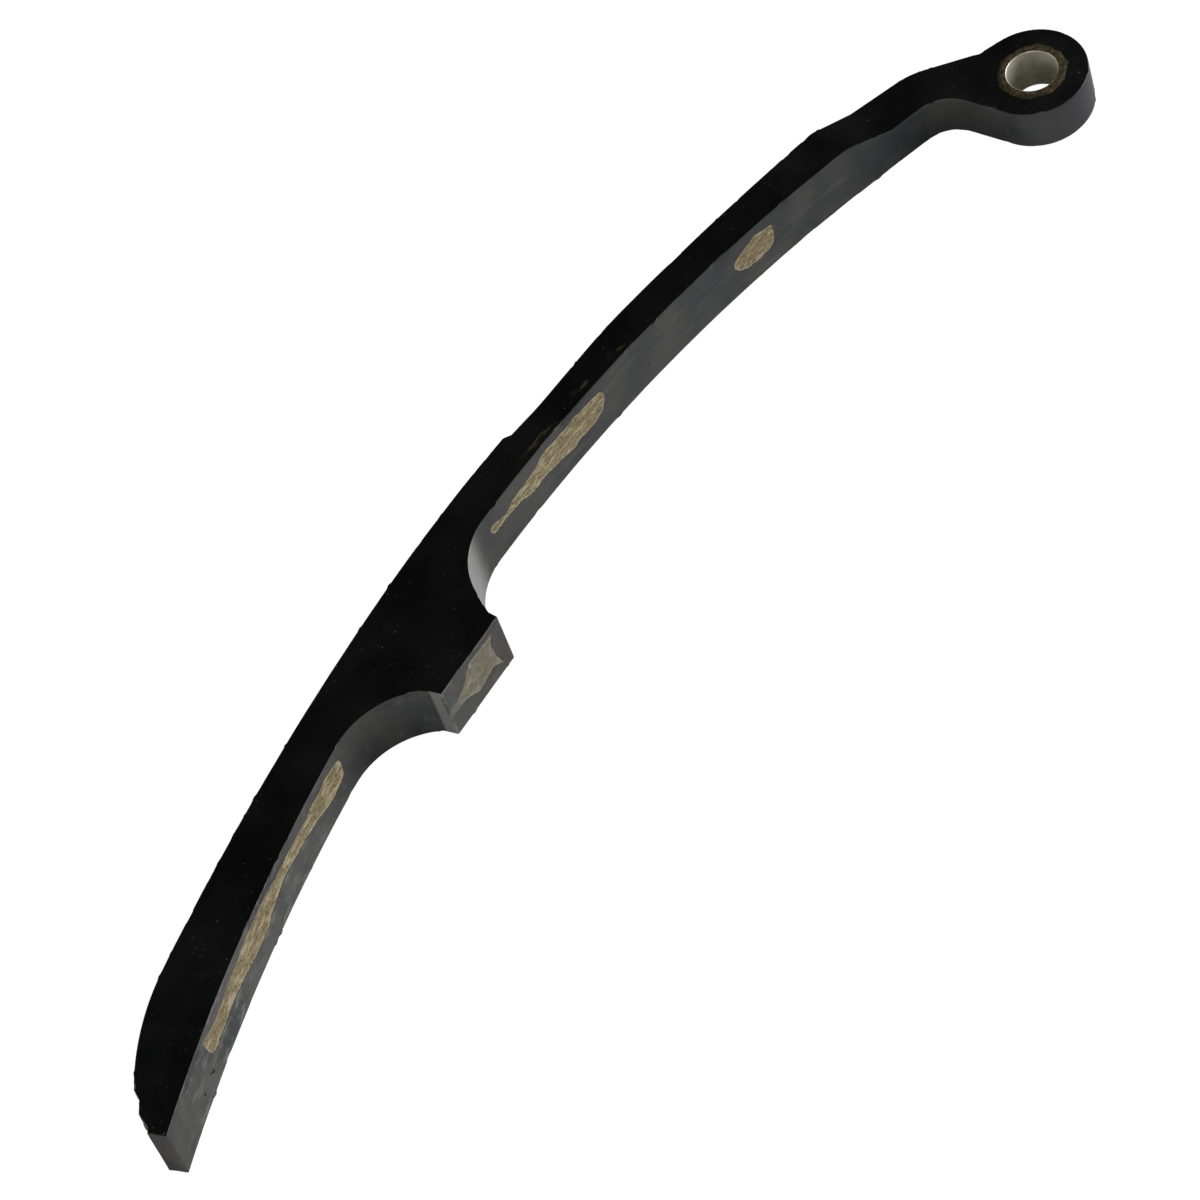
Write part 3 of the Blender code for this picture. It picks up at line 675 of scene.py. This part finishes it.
at_corner = near_to(reckon("ABSOLUTE", pad_run), half_pad, WORN_REACH)
off_middle = reckon("ABSOLUTE", reckon("SUBTRACT", place["Height"], BLADE_WIDTH / 2))
rim_wear_and_highlight = both(near_to(off_middle, BLADE_WIDTH / 2 - RIM_INSET, RIM_WEAR_AND_HIGHLIGHT_REACH), RIM_SHARE)
near_pad = both(band(pad_rise, -0.0008, -0.0003), beside_pad)
# Pale where worn at the corners. Along the long edges it is partly a painted highlight.
wear_and_edge_highlight = both(reckon("MAXIMUM", at_corner, rim_wear_and_highlight), near_pad, band(scuff, 0.36, 0.56), 0.85)
# Painted highlight: a pale strip along the pad's tip side.
tip_side_painted_highlight = near_to(pad_run, half_pad + STRIP_OUT, STRIP_WIDTH)
tip_side_painted_highlight = both(near_to(pad_rise, -STRIP_DEPTH, STRIP_REACH), tip_side_painted_highlight)
face_colour = layered(
    face_colour, (tip_side_painted_highlight, (0.150, 0.150, 0.138)), (wear_and_edge_highlight, (0.20, 0.195, 0.175))
)
print("worn corners ready")

# %% [markdown]
# In the photo the hollow flank on the eye's side of the pad is pale, and dark close to the
# corner. The lamps alone left it too dark, so its pale is a painted reflection, and the dark
# close to the corner is painted shade. It is a guess: on the real part it may be a reflection.
# A better copy of the photographer's lamps would be the other way, but it would change every
# other wall too.

# %% Rubber: the pad's hollow flank, painted highlight and shade
FLANK_MIDDLE, FLANK_REACH = 0.0060, 0.0090
FLANK_PAINTED_HIGHLIGHT, FLANK_PAINTED_SHADE = (0.190, 0.188, 0.178), (0.003, 0.003, 0.003)

# Painted highlight on the flank that faces the eye, with painted shade by the corner.
painted_flank_mask = both(near_to(pad_run, -half_pad - FLANK_MIDDLE, FLANK_REACH), band(facing["X"], 0.12, 0.60))
flank_painted_light = blend_of(band(pad_rise, -0.0038, -0.0024), FLANK_PAINTED_HIGHLIGHT, FLANK_PAINTED_SHADE)
face_colour = blend_of(painted_flank_mask, face_colour, flank_painted_light)
print("flank ready")

# %% [markdown]
# The chain's side plates have polished two tracks along the chain face. Gloss is a roughness: the
# tracks are smoother, and so are the flat sides, which keep the polish of the mould.

# %% Rubber: gloss and relief
TRACK_PITCH, TRACK_REACH = 0.0030, 0.0013
TRACK_POLISH, SIDE_POLISH, RUBBER_GLOSS = -0.14, -0.12, 0.5

on_chain = both(band(facing["Y"], 0.3, 0.6), band(place["Depth"], 0.004, 0.006))
track = both(on_chain, near_to(off_middle, TRACK_PITCH, TRACK_REACH))
hair = use(tree, streak_group, Scale=2400.0, Stretch=30.0)["Streak"]
track_colour = blend_of(band(hair, 0.4, 0.65), (0.010, 0.010, 0.010), (0.034, 0.034, 0.033))
face_colour = blend_of(track, face_colour, track_colour)
dull = reckon("MULTIPLY_ADD", track, TRACK_POLISH, band(grain["Cloud"], 0.3, 0.7, 0.38, 0.52))
relief = reckon("MULTIPLY_ADD", grain["Cloud"], 0.7, reckon("MULTIPLY", grain["Grain"], 0.22))
relief = reckon("MULTIPLY_ADD", both(track, hair), 0.5, relief)
fill(
    shader,
    Base_Color=blend_of(on_side, face_colour, side_colour),
    Roughness=reckon("MULTIPLY_ADD", on_side, SIDE_POLISH, dull),
    Specular_IOR_Level=RUBBER_GLOSS,
    Normal=bump_of(0.32, 0.00006, relief),
)
print("rubber nodes:", len(tree.nodes))

# %% [markdown]
# A tan bonding coat covers the steel inside. It is granular like felt, darker in its hollows, and
# cream along the rim of each opening, where the rubber's edge kept it clean. The rim is read from
# an attribute that the pieces carry. One recipe makes the tan, the olive and the brown kinds.

# %% Bonding coats
COAT_GLOSS = 0.2
FIBRE_RATIO, CLOUD_RATIO, STAIN_RATIO = 0.9, 7, 11


def granular(name, dark, mid, light, scale, roughness, relief, stretch=4.5, rim=None):
    """A coat in three tones, with fibres, stains and, if asked for, a pale rim."""
    material, tree, shader = new_material(name)
    grain = use(tree, grain_group, Fine=scale, Slow=scale / CLOUD_RATIO)
    fibres = use(tree, streak_group, Scale=scale * FIBRE_RATIO, Stretch=stretch)["Streak"]
    stains = use(tree, grain_group, Fine=scale, Slow=scale / STAIN_RATIO)["Cloud"]
    colour = layered(
        dark,
        (band(grain["Grain"], 0.34, 0.60), mid),
        (band(fibres, 0.48, 0.66), light),
        (band(stains, 0.50, 0.68, 0.0, 0.5), dark),
        (band(grain["Cloud"], 0.46, 0.64, 0.0, 0.40), mid),
    )
    if rim:
        share = put(tree, "Attribute", attribute_name="rim_share").outputs["Fac"]
        colour = blend_of(both(share, band(grain["Grain"], 0.30, 0.50)), colour, rim)
    bump = bump_of(0.5, relief, grain["Grain"])
    fill(shader, Base_Color=colour, Roughness=roughness, Specular_IOR_Level=COAT_GLOSS, Normal=bump)
    return material


tan_coat = granular(
    "tan_coat", (0.095, 0.070, 0.036), (0.205, 0.162, 0.092), (0.37, 0.315, 0.205), 1700.0, 0.8, 0.00006,
    rim=(0.36, 0.320, 0.220),
)
olive_coat = granular(
    "olive_coat", (0.110, 0.100, 0.068), (0.160, 0.148, 0.108), (0.22, 0.205, 0.16), 1000.0, 0.6, 0.00003,
    stretch=1.6, rim=(0.22, 0.21, 0.17),
)
brown_glue = granular(
    "brown_glue", (0.009, 0.006, 0.002), (0.028, 0.020, 0.005), (0.070, 0.052, 0.016), 1900.0, 0.7, 0.00006
)
print("coats:", [material.name for material in (tan_coat, olive_coat, brown_glue)])

# %% [markdown]
# The bush is turned steel. Its bore is bare and grey, its ends are stained brown, and the lip
# between them is rubbed bright by the bolt. They are told apart by the way a face points and by
# its distance from the axis.

# %% Stained steel
STEEL_METALLIC, STAIN_ROUGHNESS, BARE_ROUGHNESS = 0.55, 0.75, 0.40
INSIDE_FROM, INSIDE_TO = BORE_RADIUS + 0.0003, BORE_RADIUS + 0.0001

steel, tree, shader = new_material("stained_steel")
grain = use(tree, grain_group, Fine=1500.0, Slow=210.0)
upright = reckon("ABSOLUTE", facing_of(tree)["Z"])
inside = band(measure("DISTANCE", flat_place(tree)[1], at(0, 0)), INSIDE_FROM, INSIDE_TO)
on_lip = both(stretch_of(upright, 0.15, 0.45, 0.80, 0.95), inside)
on_ring = reckon("MAXIMUM", band(upright, 0.90, 0.98), reckon("SUBTRACT", 1.0, inside))
wall_colour = blend_of(band(grain["Cloud"], 0.34, 0.66), (0.42, 0.40, 0.32), (0.66, 0.63, 0.54))
ring_colour = blend_of(band(grain["Grain"], 0.4, 0.62), (0.013, 0.009, 0.003), (0.058, 0.042, 0.014))
fill(
    shader,
    Base_Color=layered(wall_colour, (on_ring, ring_colour), (on_lip, (0.62, 0.60, 0.54))),
    Metallic=band(on_ring, 0.0, 1.0, STEEL_METALLIC, 0.0),
    Roughness=band(on_ring, 0.0, 1.0, BARE_ROUGHNESS, STAIN_ROUGHNESS),
    Specular_IOR_Level=COAT_GLOSS,
    Normal=bump_of(0.3, 0.00004, grain["Grain"]),
)
print("materials:", len(bpy.data.materials))

# %% [markdown]
# Pieces are shaped as bmesh forms, cut with Boolean modifiers, and dressed at the end. The cuts
# could stay live, but an applied mesh is what the exported piece has to be.

# %% Helpers for pieces
FINE_WELD, FORM_WELD, NOISE_GAP = 1e-7, 1e-6, 17.3
CREASE, SMOOTH_ANGLE = 1.0, math.radians(38.0)


def loose(name, form):
    """A bmesh form as an object at the origin, with every face facing out."""
    bmesh.ops.recalc_face_normals(form, faces=form.faces)
    mesh = bpy.data.meshes.new(name)
    form.to_mesh(mesh)
    form.free()
    return placed(name, mesh)


def weld(form, reach):
    """Merges the points of a form that lie closer than a reach."""
    bmesh.ops.remove_doubles(form, verts=form.verts, dist=reach)


def ring_of(places):
    """A form that holds one closed ring of edges."""
    form = bmesh.new()
    ring = [form.verts.new(place) for place in places]
    for near, far in zip(ring, ring[1:] + ring[:1]):
        form.edges.new((near, far))
    return form


def merged_copy(name):
    """A copy of a CAD node with its loose triangles merged, so that a cut sees a closed solid."""
    form = bmesh.new()
    form.from_mesh(cad[name].data)
    weld(form, FINE_WELD)
    return loose(name + "_copy", form)


def shaken(place, scale, reach):
    """A shift in all three directions by noise. Three plain values repeat exactly on each run,
    which noise_vector was found not to do."""
    spots = (place * scale + Vector((0, 0, step * NOISE_GAP)) for step in range(3))
    return Vector([noise.noise(spot) for spot in spots]) * reach


def cut_away(piece, *cutters):
    """Cuts solids away from a piece, one by one, and applies the cuts."""
    for cutter in cutters:
        modifier = piece.modifiers.new("cut", "BOOLEAN")
        modifier.operation = "DIFFERENCE"
        modifier.object = cutter
    graph = bpy.context.evaluated_depsgraph_get()
    mesh = bpy.data.meshes.new_from_object(piece.evaluated_get(graph))
    piece.modifiers.clear()
    piece.data = mesh


def dress(piece, material):
    """Gives a finished piece its material, its smooth shading and its ride on the guide."""
    piece.data.materials.clear()
    piece.data.materials.append(material)
    piece.data.shade_smooth()
    piece.data.set_sharp_from_angle(angle=SMOOTH_ANGLE)
    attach(piece, "root")
    print(piece.name, len(piece.data.polygons), "faces")


def verts_of(geometry):
    return [item for item in geometry if isinstance(item, bmesh.types.BMVert)]


print("piece helpers ready")

# %% [markdown]
# The moulding is one pour of rubber. Its outline is filled and raised to the blade's width, and
# its edges are bevelled, as a mould's parting edges come out. A curve with an extrude would give
# the same walls, but not rows of faces in them, which the swell and the nicks need.

# %% Raise the moulding
EDGE_ROUND, EDGE_SEGMENTS, SHARP_CORNER = 0.00020, 3, math.radians(50.0)
WELD, SUPPORT, WALL_ROWS = 0.00012, 0.00030, 10

form = ring_of(at(*point) for point in outline)
weld(form, WELD)
base = bmesh.ops.edgeloop_fill(form, edges=form.edges)["faces"]
raised = bmesh.ops.extrude_face_region(form, geom=base, use_keep_orig=True)["geom"]
bmesh.ops.translate(form, verts=verts_of(raised), vec=(0, 0, BLADE_WIDTH))
bmesh.ops.recalc_face_normals(form, faces=form.faces)
corners = [edge for edge in form.edges if edge.calc_face_angle(0) > SHARP_CORNER]
bmesh.ops.bevel(
    form, geom=corners, offset=EDGE_ROUND, offset_type="OFFSET", segments=EDGE_SEGMENTS,
    profile=0.5, affect="EDGES", material=-1,
)
caps = sorted(form.faces, key=lambda face: len(face.verts))[-2:]
bmesh.ops.inset_region(form, faces=caps, thickness=SUPPORT, use_even_offset=True)
print("raised moulding:", len(form.faces), "faces")

# %% [markdown]
# The eye is narrower than the blade, with a ramp between. The walls are cut into rows and the
# caps along the ramp's two ends with bisecting planes, and then every height is squeezed towards
# the middle by what the eye stands in. Cutting wedges away would do it too, but would lose the
# rounded edges just made.

# %% Narrow the eye


def ramp(u):
    """How far the eye's sides stand in from the blade's."""
    share = min(1.0, max(0.0, (RAMP_END - u) / (RAMP_END - RAMP_START)))
    return share * (BLADE_WIDTH - EYE_WIDTH) / 2


def slice_form(form, place, normal):
    geometry = form.verts[:] + form.edges[:] + form.faces[:]
    bmesh.ops.bisect_plane(form, geom=geometry, dist=FORM_WELD, plane_co=place, plane_no=normal)


for row in range(1, WALL_ROWS):
    slice_form(form, (0, 0, BLADE_WIDTH * row / WALL_ROWS), (0, 0, 1))
for u in (RAMP_START, RAMP_END):
    slice_form(form, at(u, 0), (1, 0, 0))
for vert in form.verts:
    sunk = ramp(AXIS.x - vert.co.x)
    vert.co.z = sunk + vert.co.z * (BLADE_WIDTH - 2 * sunk) / BLADE_WIDTH
print("narrowed moulding:", len(form.faces), "faces")

# %% [markdown]
# Walls swell a little, and the edges are never clean: the mould left nibs of flash, and years of
# handling left nicks. Each point of the walls is moved along its own normal by noise. Sculpting
# would look as good, but would not come out the same twice.

# %% Swell, nibs and nicks
SWELL, SWELL_SCALE = 0.00004, 150.0
RIM_REACH, WALL_LIMIT = 0.0007, 0.97
NIB_HEIGHT, NIB_SCALE, NIB_LIMIT = 0.00050, 620.0, 0.42
NICK_DEPTH, NICK_SCALE, NICK_LIMIT = 0.00055, 330.0, 0.38
SEEDS = (Vector((0.31, 0.17, 0.53)), Vector((0.71, 0.43, 0.29)))


def past(value, limit):
    """How far a value is past a limit, as a share of what is left."""
    return max(0.0, value - limit) / (1 - limit)


def unevenness(place, on_top, to_rim):
    """How far a point of the wall stands out: the swell, with nibs and nicks by the rims."""
    spot = place + SEEDS[0] * on_top
    nib = NIB_HEIGHT * past(noise.noise(spot * NIB_SCALE), NIB_LIMIT)
    nick = NICK_DEPTH * past(noise.noise((spot + SEEDS[1]) * NICK_SCALE), NICK_LIMIT)
    share = max(0.0, 1 - to_rim / RIM_REACH)
    return noise.noise(place * SWELL_SCALE) * SWELL + share * (nib - nick)


form.normal_update()
for vert in form.verts:
    if abs(vert.normal.z) > WALL_LIMIT:
        continue
    sunk = ramp(AXIS.x - vert.co.x)
    to_rim = min(vert.co.z, BLADE_WIDTH - vert.co.z) - sunk
    outwards = Vector((vert.normal.x, vert.normal.y, 0)).normalized()
    vert.co += outwards * unevenness(vert.co, vert.co.z > BLADE_WIDTH / 2, to_rim)
moulding = loose("rubber_moulding", form)
print("moulding:", len(moulding.data.polygons), "faces")

# %% [markdown]
# The skin stayed open in four places. The openings are read from the solids: a thin slab inside
# the skin, less the rubber, leaves a plug in each opening. They could be drawn again from points,
# but a plug is sure to fit. A slab is a grid laid on the face and thickened with solidify.

# %% Slabs inside the skin
SLAB_TOP, SLAB_BOTTOM, SLAB_STEP = 0.00004, 0.00026, 0.0010
SLAB_LOW, SLAB_HIGH = 0.0008, 0.0118


def slab(name, path, start, end):
    """A closed slab along a path of the profile, from one distance to another."""
    form = bmesh.new()
    bmesh.ops.create_grid(form, x_segments=math.ceil((end - start) / SLAB_STEP), y_segments=1, size=0.5)
    for vert in form.verts:
        height = SLAB_LOW + (vert.co.y + 0.5) * (SLAB_HIGH - SLAB_LOW)
        vert.co = at(*path(start + (vert.co.x + 0.5) * (end - start), SLAB_TOP), height)
    skin = form.faces[:]
    inner = verts_of(bmesh.ops.extrude_face_region(form, geom=skin, use_keep_orig=True)["geom"])
    for vert in inner:
        vert.co += into_at(path, vert.co) * (SLAB_BOTTOM - SLAB_TOP)
    return loose(name, form)


def in_profile(place):
    """A place's profile point, and the arc of the back face that it lies by."""
    point = Vector((AXIS.x - place.x, place.y - AXIS.y))
    return point, 0 if point.x < bend.x else 1


def depth_at(path, place):
    """How deep a point lies under the back face, or under the pad's face."""
    point, leg = in_profile(place)
    if path is on_pad:
        return (PAD_MIDDLE - point).dot(PAD_OUT)
    return (point - ARC_CENTRES[leg]).length - BACK_LEGS[leg][1]


def into_at(path, place):
    """The direction into the blade from a point on that face."""
    point, leg = in_profile(place)
    into = -PAD_OUT if path is on_pad else (point - ARC_CENTRES[leg]).normalized()
    return Vector((-into.x, into.y, 0))


OPENINGS = {
    "coat_near_eye": (on_back, 0.0150, 0.0340),
    "coat_middle": (on_back, 0.0600, 0.1020),
    "coat_near_tip": (on_back, 0.1460, 0.2130),
    "coat_on_pad": (on_pad, -0.0084, 0.0084),
}
plugs = {}
skin = merged_copy("rubber_body")
for name, (path, start, end) in OPENINGS.items():
    plugs[name] = slab(name + "_plug", path, start, end)
    cut_away(plugs[name], skin)
    print(name, len(plugs[name].data.polygons), "faces")
bpy.data.objects.remove(skin)

# %% [markdown]
# The edges of the openings are ragged, as the mould's clamps tore them. Each plug's outline is
# divided and shaken by noise. The same shaken plug serves twice: a long one cuts the rubber, and
# a short one is the coat inside, so the two always match.

# %% Ragged plugs
RAGGED, RAGGED_SCALE, RAGGED_CUTS = 0.00020, 1500.0, 2
SHORTEST_CUT = 0.0003


def creased(edge):
    return edge.calc_face_angle(0) > CREASE


def ragged_plug(name, top, bottom):
    """A plug between two depths, with its outline shaken the same way each time."""
    path = OPENINGS[name][0]
    form = bmesh.new()
    form.from_mesh(plugs[name].data)
    weld(form, FORM_WELD)
    edge_on = [edge for edge in form.edges if creased(edge) and edge.calc_length() > SHORTEST_CUT]
    bmesh.ops.subdivide_edges(form, edges=edge_on, cuts=RAGGED_CUTS)
    for vert in form.verts:
        into, depth = into_at(path, vert.co), depth_at(path, vert.co)
        level = vert.co - into * depth
        shake = shaken(level, RAGGED_SCALE, RAGGED)
        along = Vector((into.y, -into.x, 0))
        sunk = top if depth < (SLAB_TOP + SLAB_BOTTOM) / 2 else bottom
        vert.co = level + along * shake.x + Vector((0, 0, shake.y)) + into * sunk
    bmesh.ops.triangulate(form, faces=form.faces)
    return form


CUT_OUT, CUT_IN = -0.0006, {on_back: 0.00064, on_pad: 0.00074}
cutters = []
for name, (path, _, _) in OPENINGS.items():
    cutters.append(loose(name + "_cutter", ragged_plug(name, CUT_OUT, CUT_IN[path])))
print("window cutters:", len(cutters))

# %% [markdown]
# A piece is torn off the nose. The tear is a grid laid through the torn edge and roughened by
# noise at two scales, then thickened away from the blade to make a cutter. A jagged outline alone
# would leave straight walls; a torn face is rough both ways.

# %% The torn nose
TEAR_EDGE = (
    (-0.0074, 0.0150), (-0.0044, 0.0116), (-0.0037, 0.0101), (-0.0033, 0.0093), (-0.0018, 0.0078),
    (-0.0010, 0.0070), (-0.0005, 0.0062), (0.0000, 0.0046), (0.0004, 0.0039), (0.0022, 0.0027),
)
TEAR_COLUMNS, TEAR_ROWS, TEAR_MARGIN = 64, 44, 0.0010
TEAR_LEAN, TEAR_LEAN_ANGLE, TEAR_REACH = 0.0005, math.radians(35.0), 0.0080
TEAR_COARSE, TEAR_COARSE_SCALE = 0.00034, 420.0
TEAR_FINE, TEAR_FINE_SCALE = 0.00009, 1800.0


def along_path(points, share):
    """The point at a share of a path's length."""
    lengths = [(far - near).length for near, far in zip(points, points[1:])]
    left = share * sum(lengths)
    for near, far, length in zip(points, points[1:], lengths):
        if left <= length:
            return near.lerp(far, left / length)
        left -= length
    return points[-1]


torn_edge = [tip + Vector(point) for point in TEAR_EDGE]
form = bmesh.new()
bmesh.ops.create_grid(form, x_segments=TEAR_COLUMNS, y_segments=TEAR_ROWS, size=0.5)
for vert in form.verts:
    height = (vert.co.y + 0.5) * (BLADE_WIDTH + 2 * TEAR_MARGIN) - TEAR_MARGIN
    lean = unit(TEAR_LEAN_ANGLE) * TEAR_LEAN * (1 - height / BLADE_WIDTH)
    place = at(*(along_path(torn_edge, vert.co.x + 0.5) + lean), height)
    coarse = shaken(place, TEAR_COARSE_SCALE, TEAR_COARSE)
    vert.co = place + coarse + shaken(place, TEAR_FINE_SCALE, TEAR_FINE)
grown = bmesh.ops.extrude_face_region(form, geom=form.faces[:], use_keep_orig=True)["geom"]
away = unit(TEAR_LEAN_ANGLE) * TEAR_REACH
bmesh.ops.translate(form, verts=verts_of(grown), vec=(-away.x, away.y, 0))
cutters.append(loose("torn_piece", form))
print("torn piece:", len(cutters[-1].data.polygons), "faces")

# %% [markdown]
# Air trapped in the mould left a few pits in the back face near the tip. A pit is a small ball
# taken out of the face, stretched along the blade and shaken so that no two are alike.

# %% Pits in the back face
PITS = (
    (0.2103, 0.0038, 0.00042), (0.2110, 0.0044, 0.00022), (0.2147, 0.0037, 0.00034),
    (0.2060, 0.0021, 0.00020), (0.1965, 0.0030, 0.00018), (0.0533, 0.0043, 0.00020),
)
PIT_STRETCH, PIT_SHAKE, PIT_SHAKE_SCALE = 1.5, 0.00012, 2600.0

form = bmesh.new()
for station, height, radius in PITS:
    ball = bmesh.ops.create_icosphere(form, subdivisions=3, radius=radius)["verts"]
    bmesh.ops.scale(form, verts=ball, vec=(PIT_STRETCH, 1, 1))
    bmesh.ops.translate(form, verts=ball, vec=at(*on_back(station), height))
for vert in form.verts:
    vert.co += shaken(vert.co, PIT_SHAKE_SCALE, PIT_SHAKE)
cutters.append(loose("pits", form))
print("pits:", len(PITS))

# %% [markdown]
# The last cuts are the bush's round seat and the room that the leaf and the block take inside.

# %% Cut the moulding
SEAT_SIDES = 160

form = bmesh.new()
bmesh.ops.create_cone(
    form, cap_ends=True, segments=SEAT_SIDES, radius1=BUSH_RADIUS, radius2=BUSH_RADIUS, depth=4 * EYE_WIDTH
)
bmesh.ops.translate(form, verts=form.verts, vec=AXIS)
cutters += [loose("bush_seat", form), merged_copy("steel_leaf"), merged_copy("pad_block")]
cut_away(moulding, *cutters)
for cutter in cutters:
    bpy.data.objects.remove(cutter)
dress(moulding, rubber)
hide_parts("rubber_body")

# %% [markdown]
# The coat fills each opening from the steel up to just under the skin. Its visible face is cut
# into small faces by planes and sunk by noise, so that it is rough like felt, and each point
# keeps how near it lies to the rim, which the material turns into the clean cream line.

# %% Coats in the openings
COAT_DEPTH = 0.00007
COAT_BOTTOM = {on_back: 0.00060, on_pad: 0.00070}
COAT_GRAIN, COAT_RELIEF, COAT_SCALE = 0.00034, 0.00005, 1300.0
RIM_WIDTH = 0.00042


def grate(form, chosen, path, start, end):
    """Cuts the chosen faces of a form into small ones, along the path and by height."""
    planes = []
    for column in range(1, math.ceil((end - start) / COAT_GRAIN)):
        near, far = (at(*path(start + (column + step) * COAT_GRAIN)) for step in (0, 0.5))
        planes.append((near, far - near))
    for row in range(1, math.ceil(BLADE_WIDTH / COAT_GRAIN)):
        planes.append(((0, 0, row * COAT_GRAIN), (0, 0, 1)))
    for place, normal in planes:
        faces = [face for face in form.faces if chosen(face)]
        edges = dict.fromkeys(edge for face in faces for edge in face.edges)
        verts = dict.fromkeys(vert for face in faces for vert in face.verts)
        geometry = [*verts, *edges, *faces]
        bmesh.ops.bisect_plane(form, geom=geometry, dist=FINE_WELD, plane_co=place, plane_no=normal)


def coat(name):
    path = OPENINGS[name][0]
    form = ragged_plug(name, COAT_DEPTH, COAT_BOTTOM[path])
    shown_depth = (COAT_DEPTH + COAT_BOTTOM[path]) / 2

    def shown(vert):
        return depth_at(path, vert.co) < shown_depth

    grate(form, lambda face: all(map(shown, face.verts)), path, *OPENINGS[name][1:])
    rim = [edge for edge in form.edges if creased(edge) and all(map(shown, edge.verts))]
    tree = kdtree.KDTree(len(rim) * 2)
    for index, vert in enumerate(vert for edge in rim for vert in edge.verts):
        tree.insert(vert.co, index)
    tree.balance()
    rim_share = form.verts.layers.float.new("rim_share")
    for vert in form.verts:
        to_rim = tree.find(vert.co)[2]
        vert[rim_share] = max(0.0, 1 - to_rim / RIM_WIDTH)
        if shown(vert):
            sink = 1 + noise.noise(vert.co * COAT_SCALE)
            vert.co += into_at(path, vert.co) * (COAT_RELIEF * sink * min(1.0, to_rim / RIM_WIDTH))
    return loose(name, form)


for name, (path, _, _) in OPENINGS.items():
    finish, slot = (olive_coat, "coated_block") if path is on_pad else (tan_coat, "coated_leaf")
    dress(coat(name), finish)
    bpy.data.objects.remove(plugs[name])

# %% [markdown]
# The bush was turned on a lathe, and spin does just that: half a section runs once round the
# bush's axis. A pipe cut from a cylinder would lack the rolled lip that catches the light.

# %% Bush
LIP, OUTER_LIP = 0.00016, 0.00008
TURNED_SIDES, BORE_STEPS, LIP_SKIP = 160, 4, 6


def turned(section, sides):
    """A closed section of radius and height points, spun round the bush's axis."""
    form = ring_of((AXIS.x + radius, AXIS.y, AXIS.z + height) for radius, height in section)
    bmesh.ops.spin(
        form, geom=form.verts[:] + form.edges[:], cent=AXIS, axis=(0, 0, 1), angle=2 * math.pi,
        steps=sides, use_merge=True, use_duplicate=False,
    )
    weld(form, FORM_WELD)
    return form


bore = [Vector((BORE_RADIUS, (BUSH_TOP - LIP) * step / BORE_STEPS)) for step in range(BORE_STEPS)]
inner_lip = arc(Vector((BORE_RADIUS + LIP, BUSH_TOP - LIP)), LIP, math.pi, math.pi / 2)[::LIP_SKIP]
outer_middle = Vector((BUSH_RADIUS - OUTER_LIP, BUSH_TOP - OUTER_LIP))
outer_lip = arc(outer_middle, OUTER_LIP, math.pi / 2, 0)[::LIP_SKIP]
half = bore + inner_lip + outer_lip + [Vector((BUSH_RADIUS, 0))]
section = half + [Vector((point.x, -point.y)) for point in half[-2:0:-1]]
bush = loose("turned_bush", turned(section, TURNED_SIDES))
dress(bush, steel)
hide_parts("pivot_bush")

# %% [markdown]
# Where rubber meets bush, brown bonding agent has crept out in a ragged collar on both sides. It
# is turned like the bush, and then its outer points are moved in and out by noise.

# %% Collars of bonding agent
COLLAR_REACH, COLLAR_PROUD, COLLAR_SUNK = 0.00045, 0.00016, 0.00030
COLLAR_RAGGED, COLLAR_SIDES = 0.00042, 300
COLLAR_WAVES, COLLAR_TEETH, TEETH_SHARE = 5.0, 19.0, 0.6
COLLAR_LAP, STILL_SHARE, DEEPEST_BITE = 0.00002, 0.1, -0.8


def collar(name, side):
    """A ragged collar round the bush, on the side where Z is up or down."""
    face = EYE_WIDTH / 2
    inner, outer = BUSH_RADIUS - COLLAR_LAP, BUSH_RADIUS + COLLAR_REACH
    section = [
        (inner, face - COLLAR_SUNK), (inner, face + COLLAR_PROUD),
        (BUSH_RADIUS + COLLAR_REACH * 0.5, face + COLLAR_PROUD * 0.5),
        (outer, face + COLLAR_LAP), (outer, face - COLLAR_SUNK),
    ]
    form = turned([(radius, height * side) for radius, height in section], COLLAR_SIDES)
    for vert in form.verts:
        spoke = Vector((vert.co.x - AXIS.x, vert.co.y - AXIS.y, 0))
        share = (spoke.length - BUSH_RADIUS) / COLLAR_REACH
        spot = spoke.normalized() + Vector((0, 0, side))
        rough = noise.noise(spot * COLLAR_WAVES) + TEETH_SHARE * noise.noise(spot * COLLAR_TEETH)
        if share > STILL_SHARE:
            vert.co += spoke.normalized() * (share * COLLAR_RAGGED * max(DEEPEST_BITE, rough))
    return loose(name, form)


for name, side in (("glue_ring_top", 1), ("glue_ring_bottom", -1)):
    dress(collar(name, side), brown_glue)

# %% [markdown]
# The steel leaf and the pad block hardly show under their coats, so their CAD meshes stay, and
# only take the same coat.

# %% The steel inside
for name, material in (("steel_leaf", tan_coat), ("pad_block", olive_coat)):
    cad[name].data.materials.clear()
    cad[name].data.materials.append(material)
    print(name, "carried over with", material.name)

# %% [markdown]
# Last, the two boxes are printed: the looks must not change the part's size.

# %% Sizes and finish


def corners_of(box):
    return [[float(value) for value in corner] for corner in box]


boxes = {"cad": corners_of(cad_box), "visual": corners_of(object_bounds())}
for name, box in boxes.items():
    print(name, "box", box)
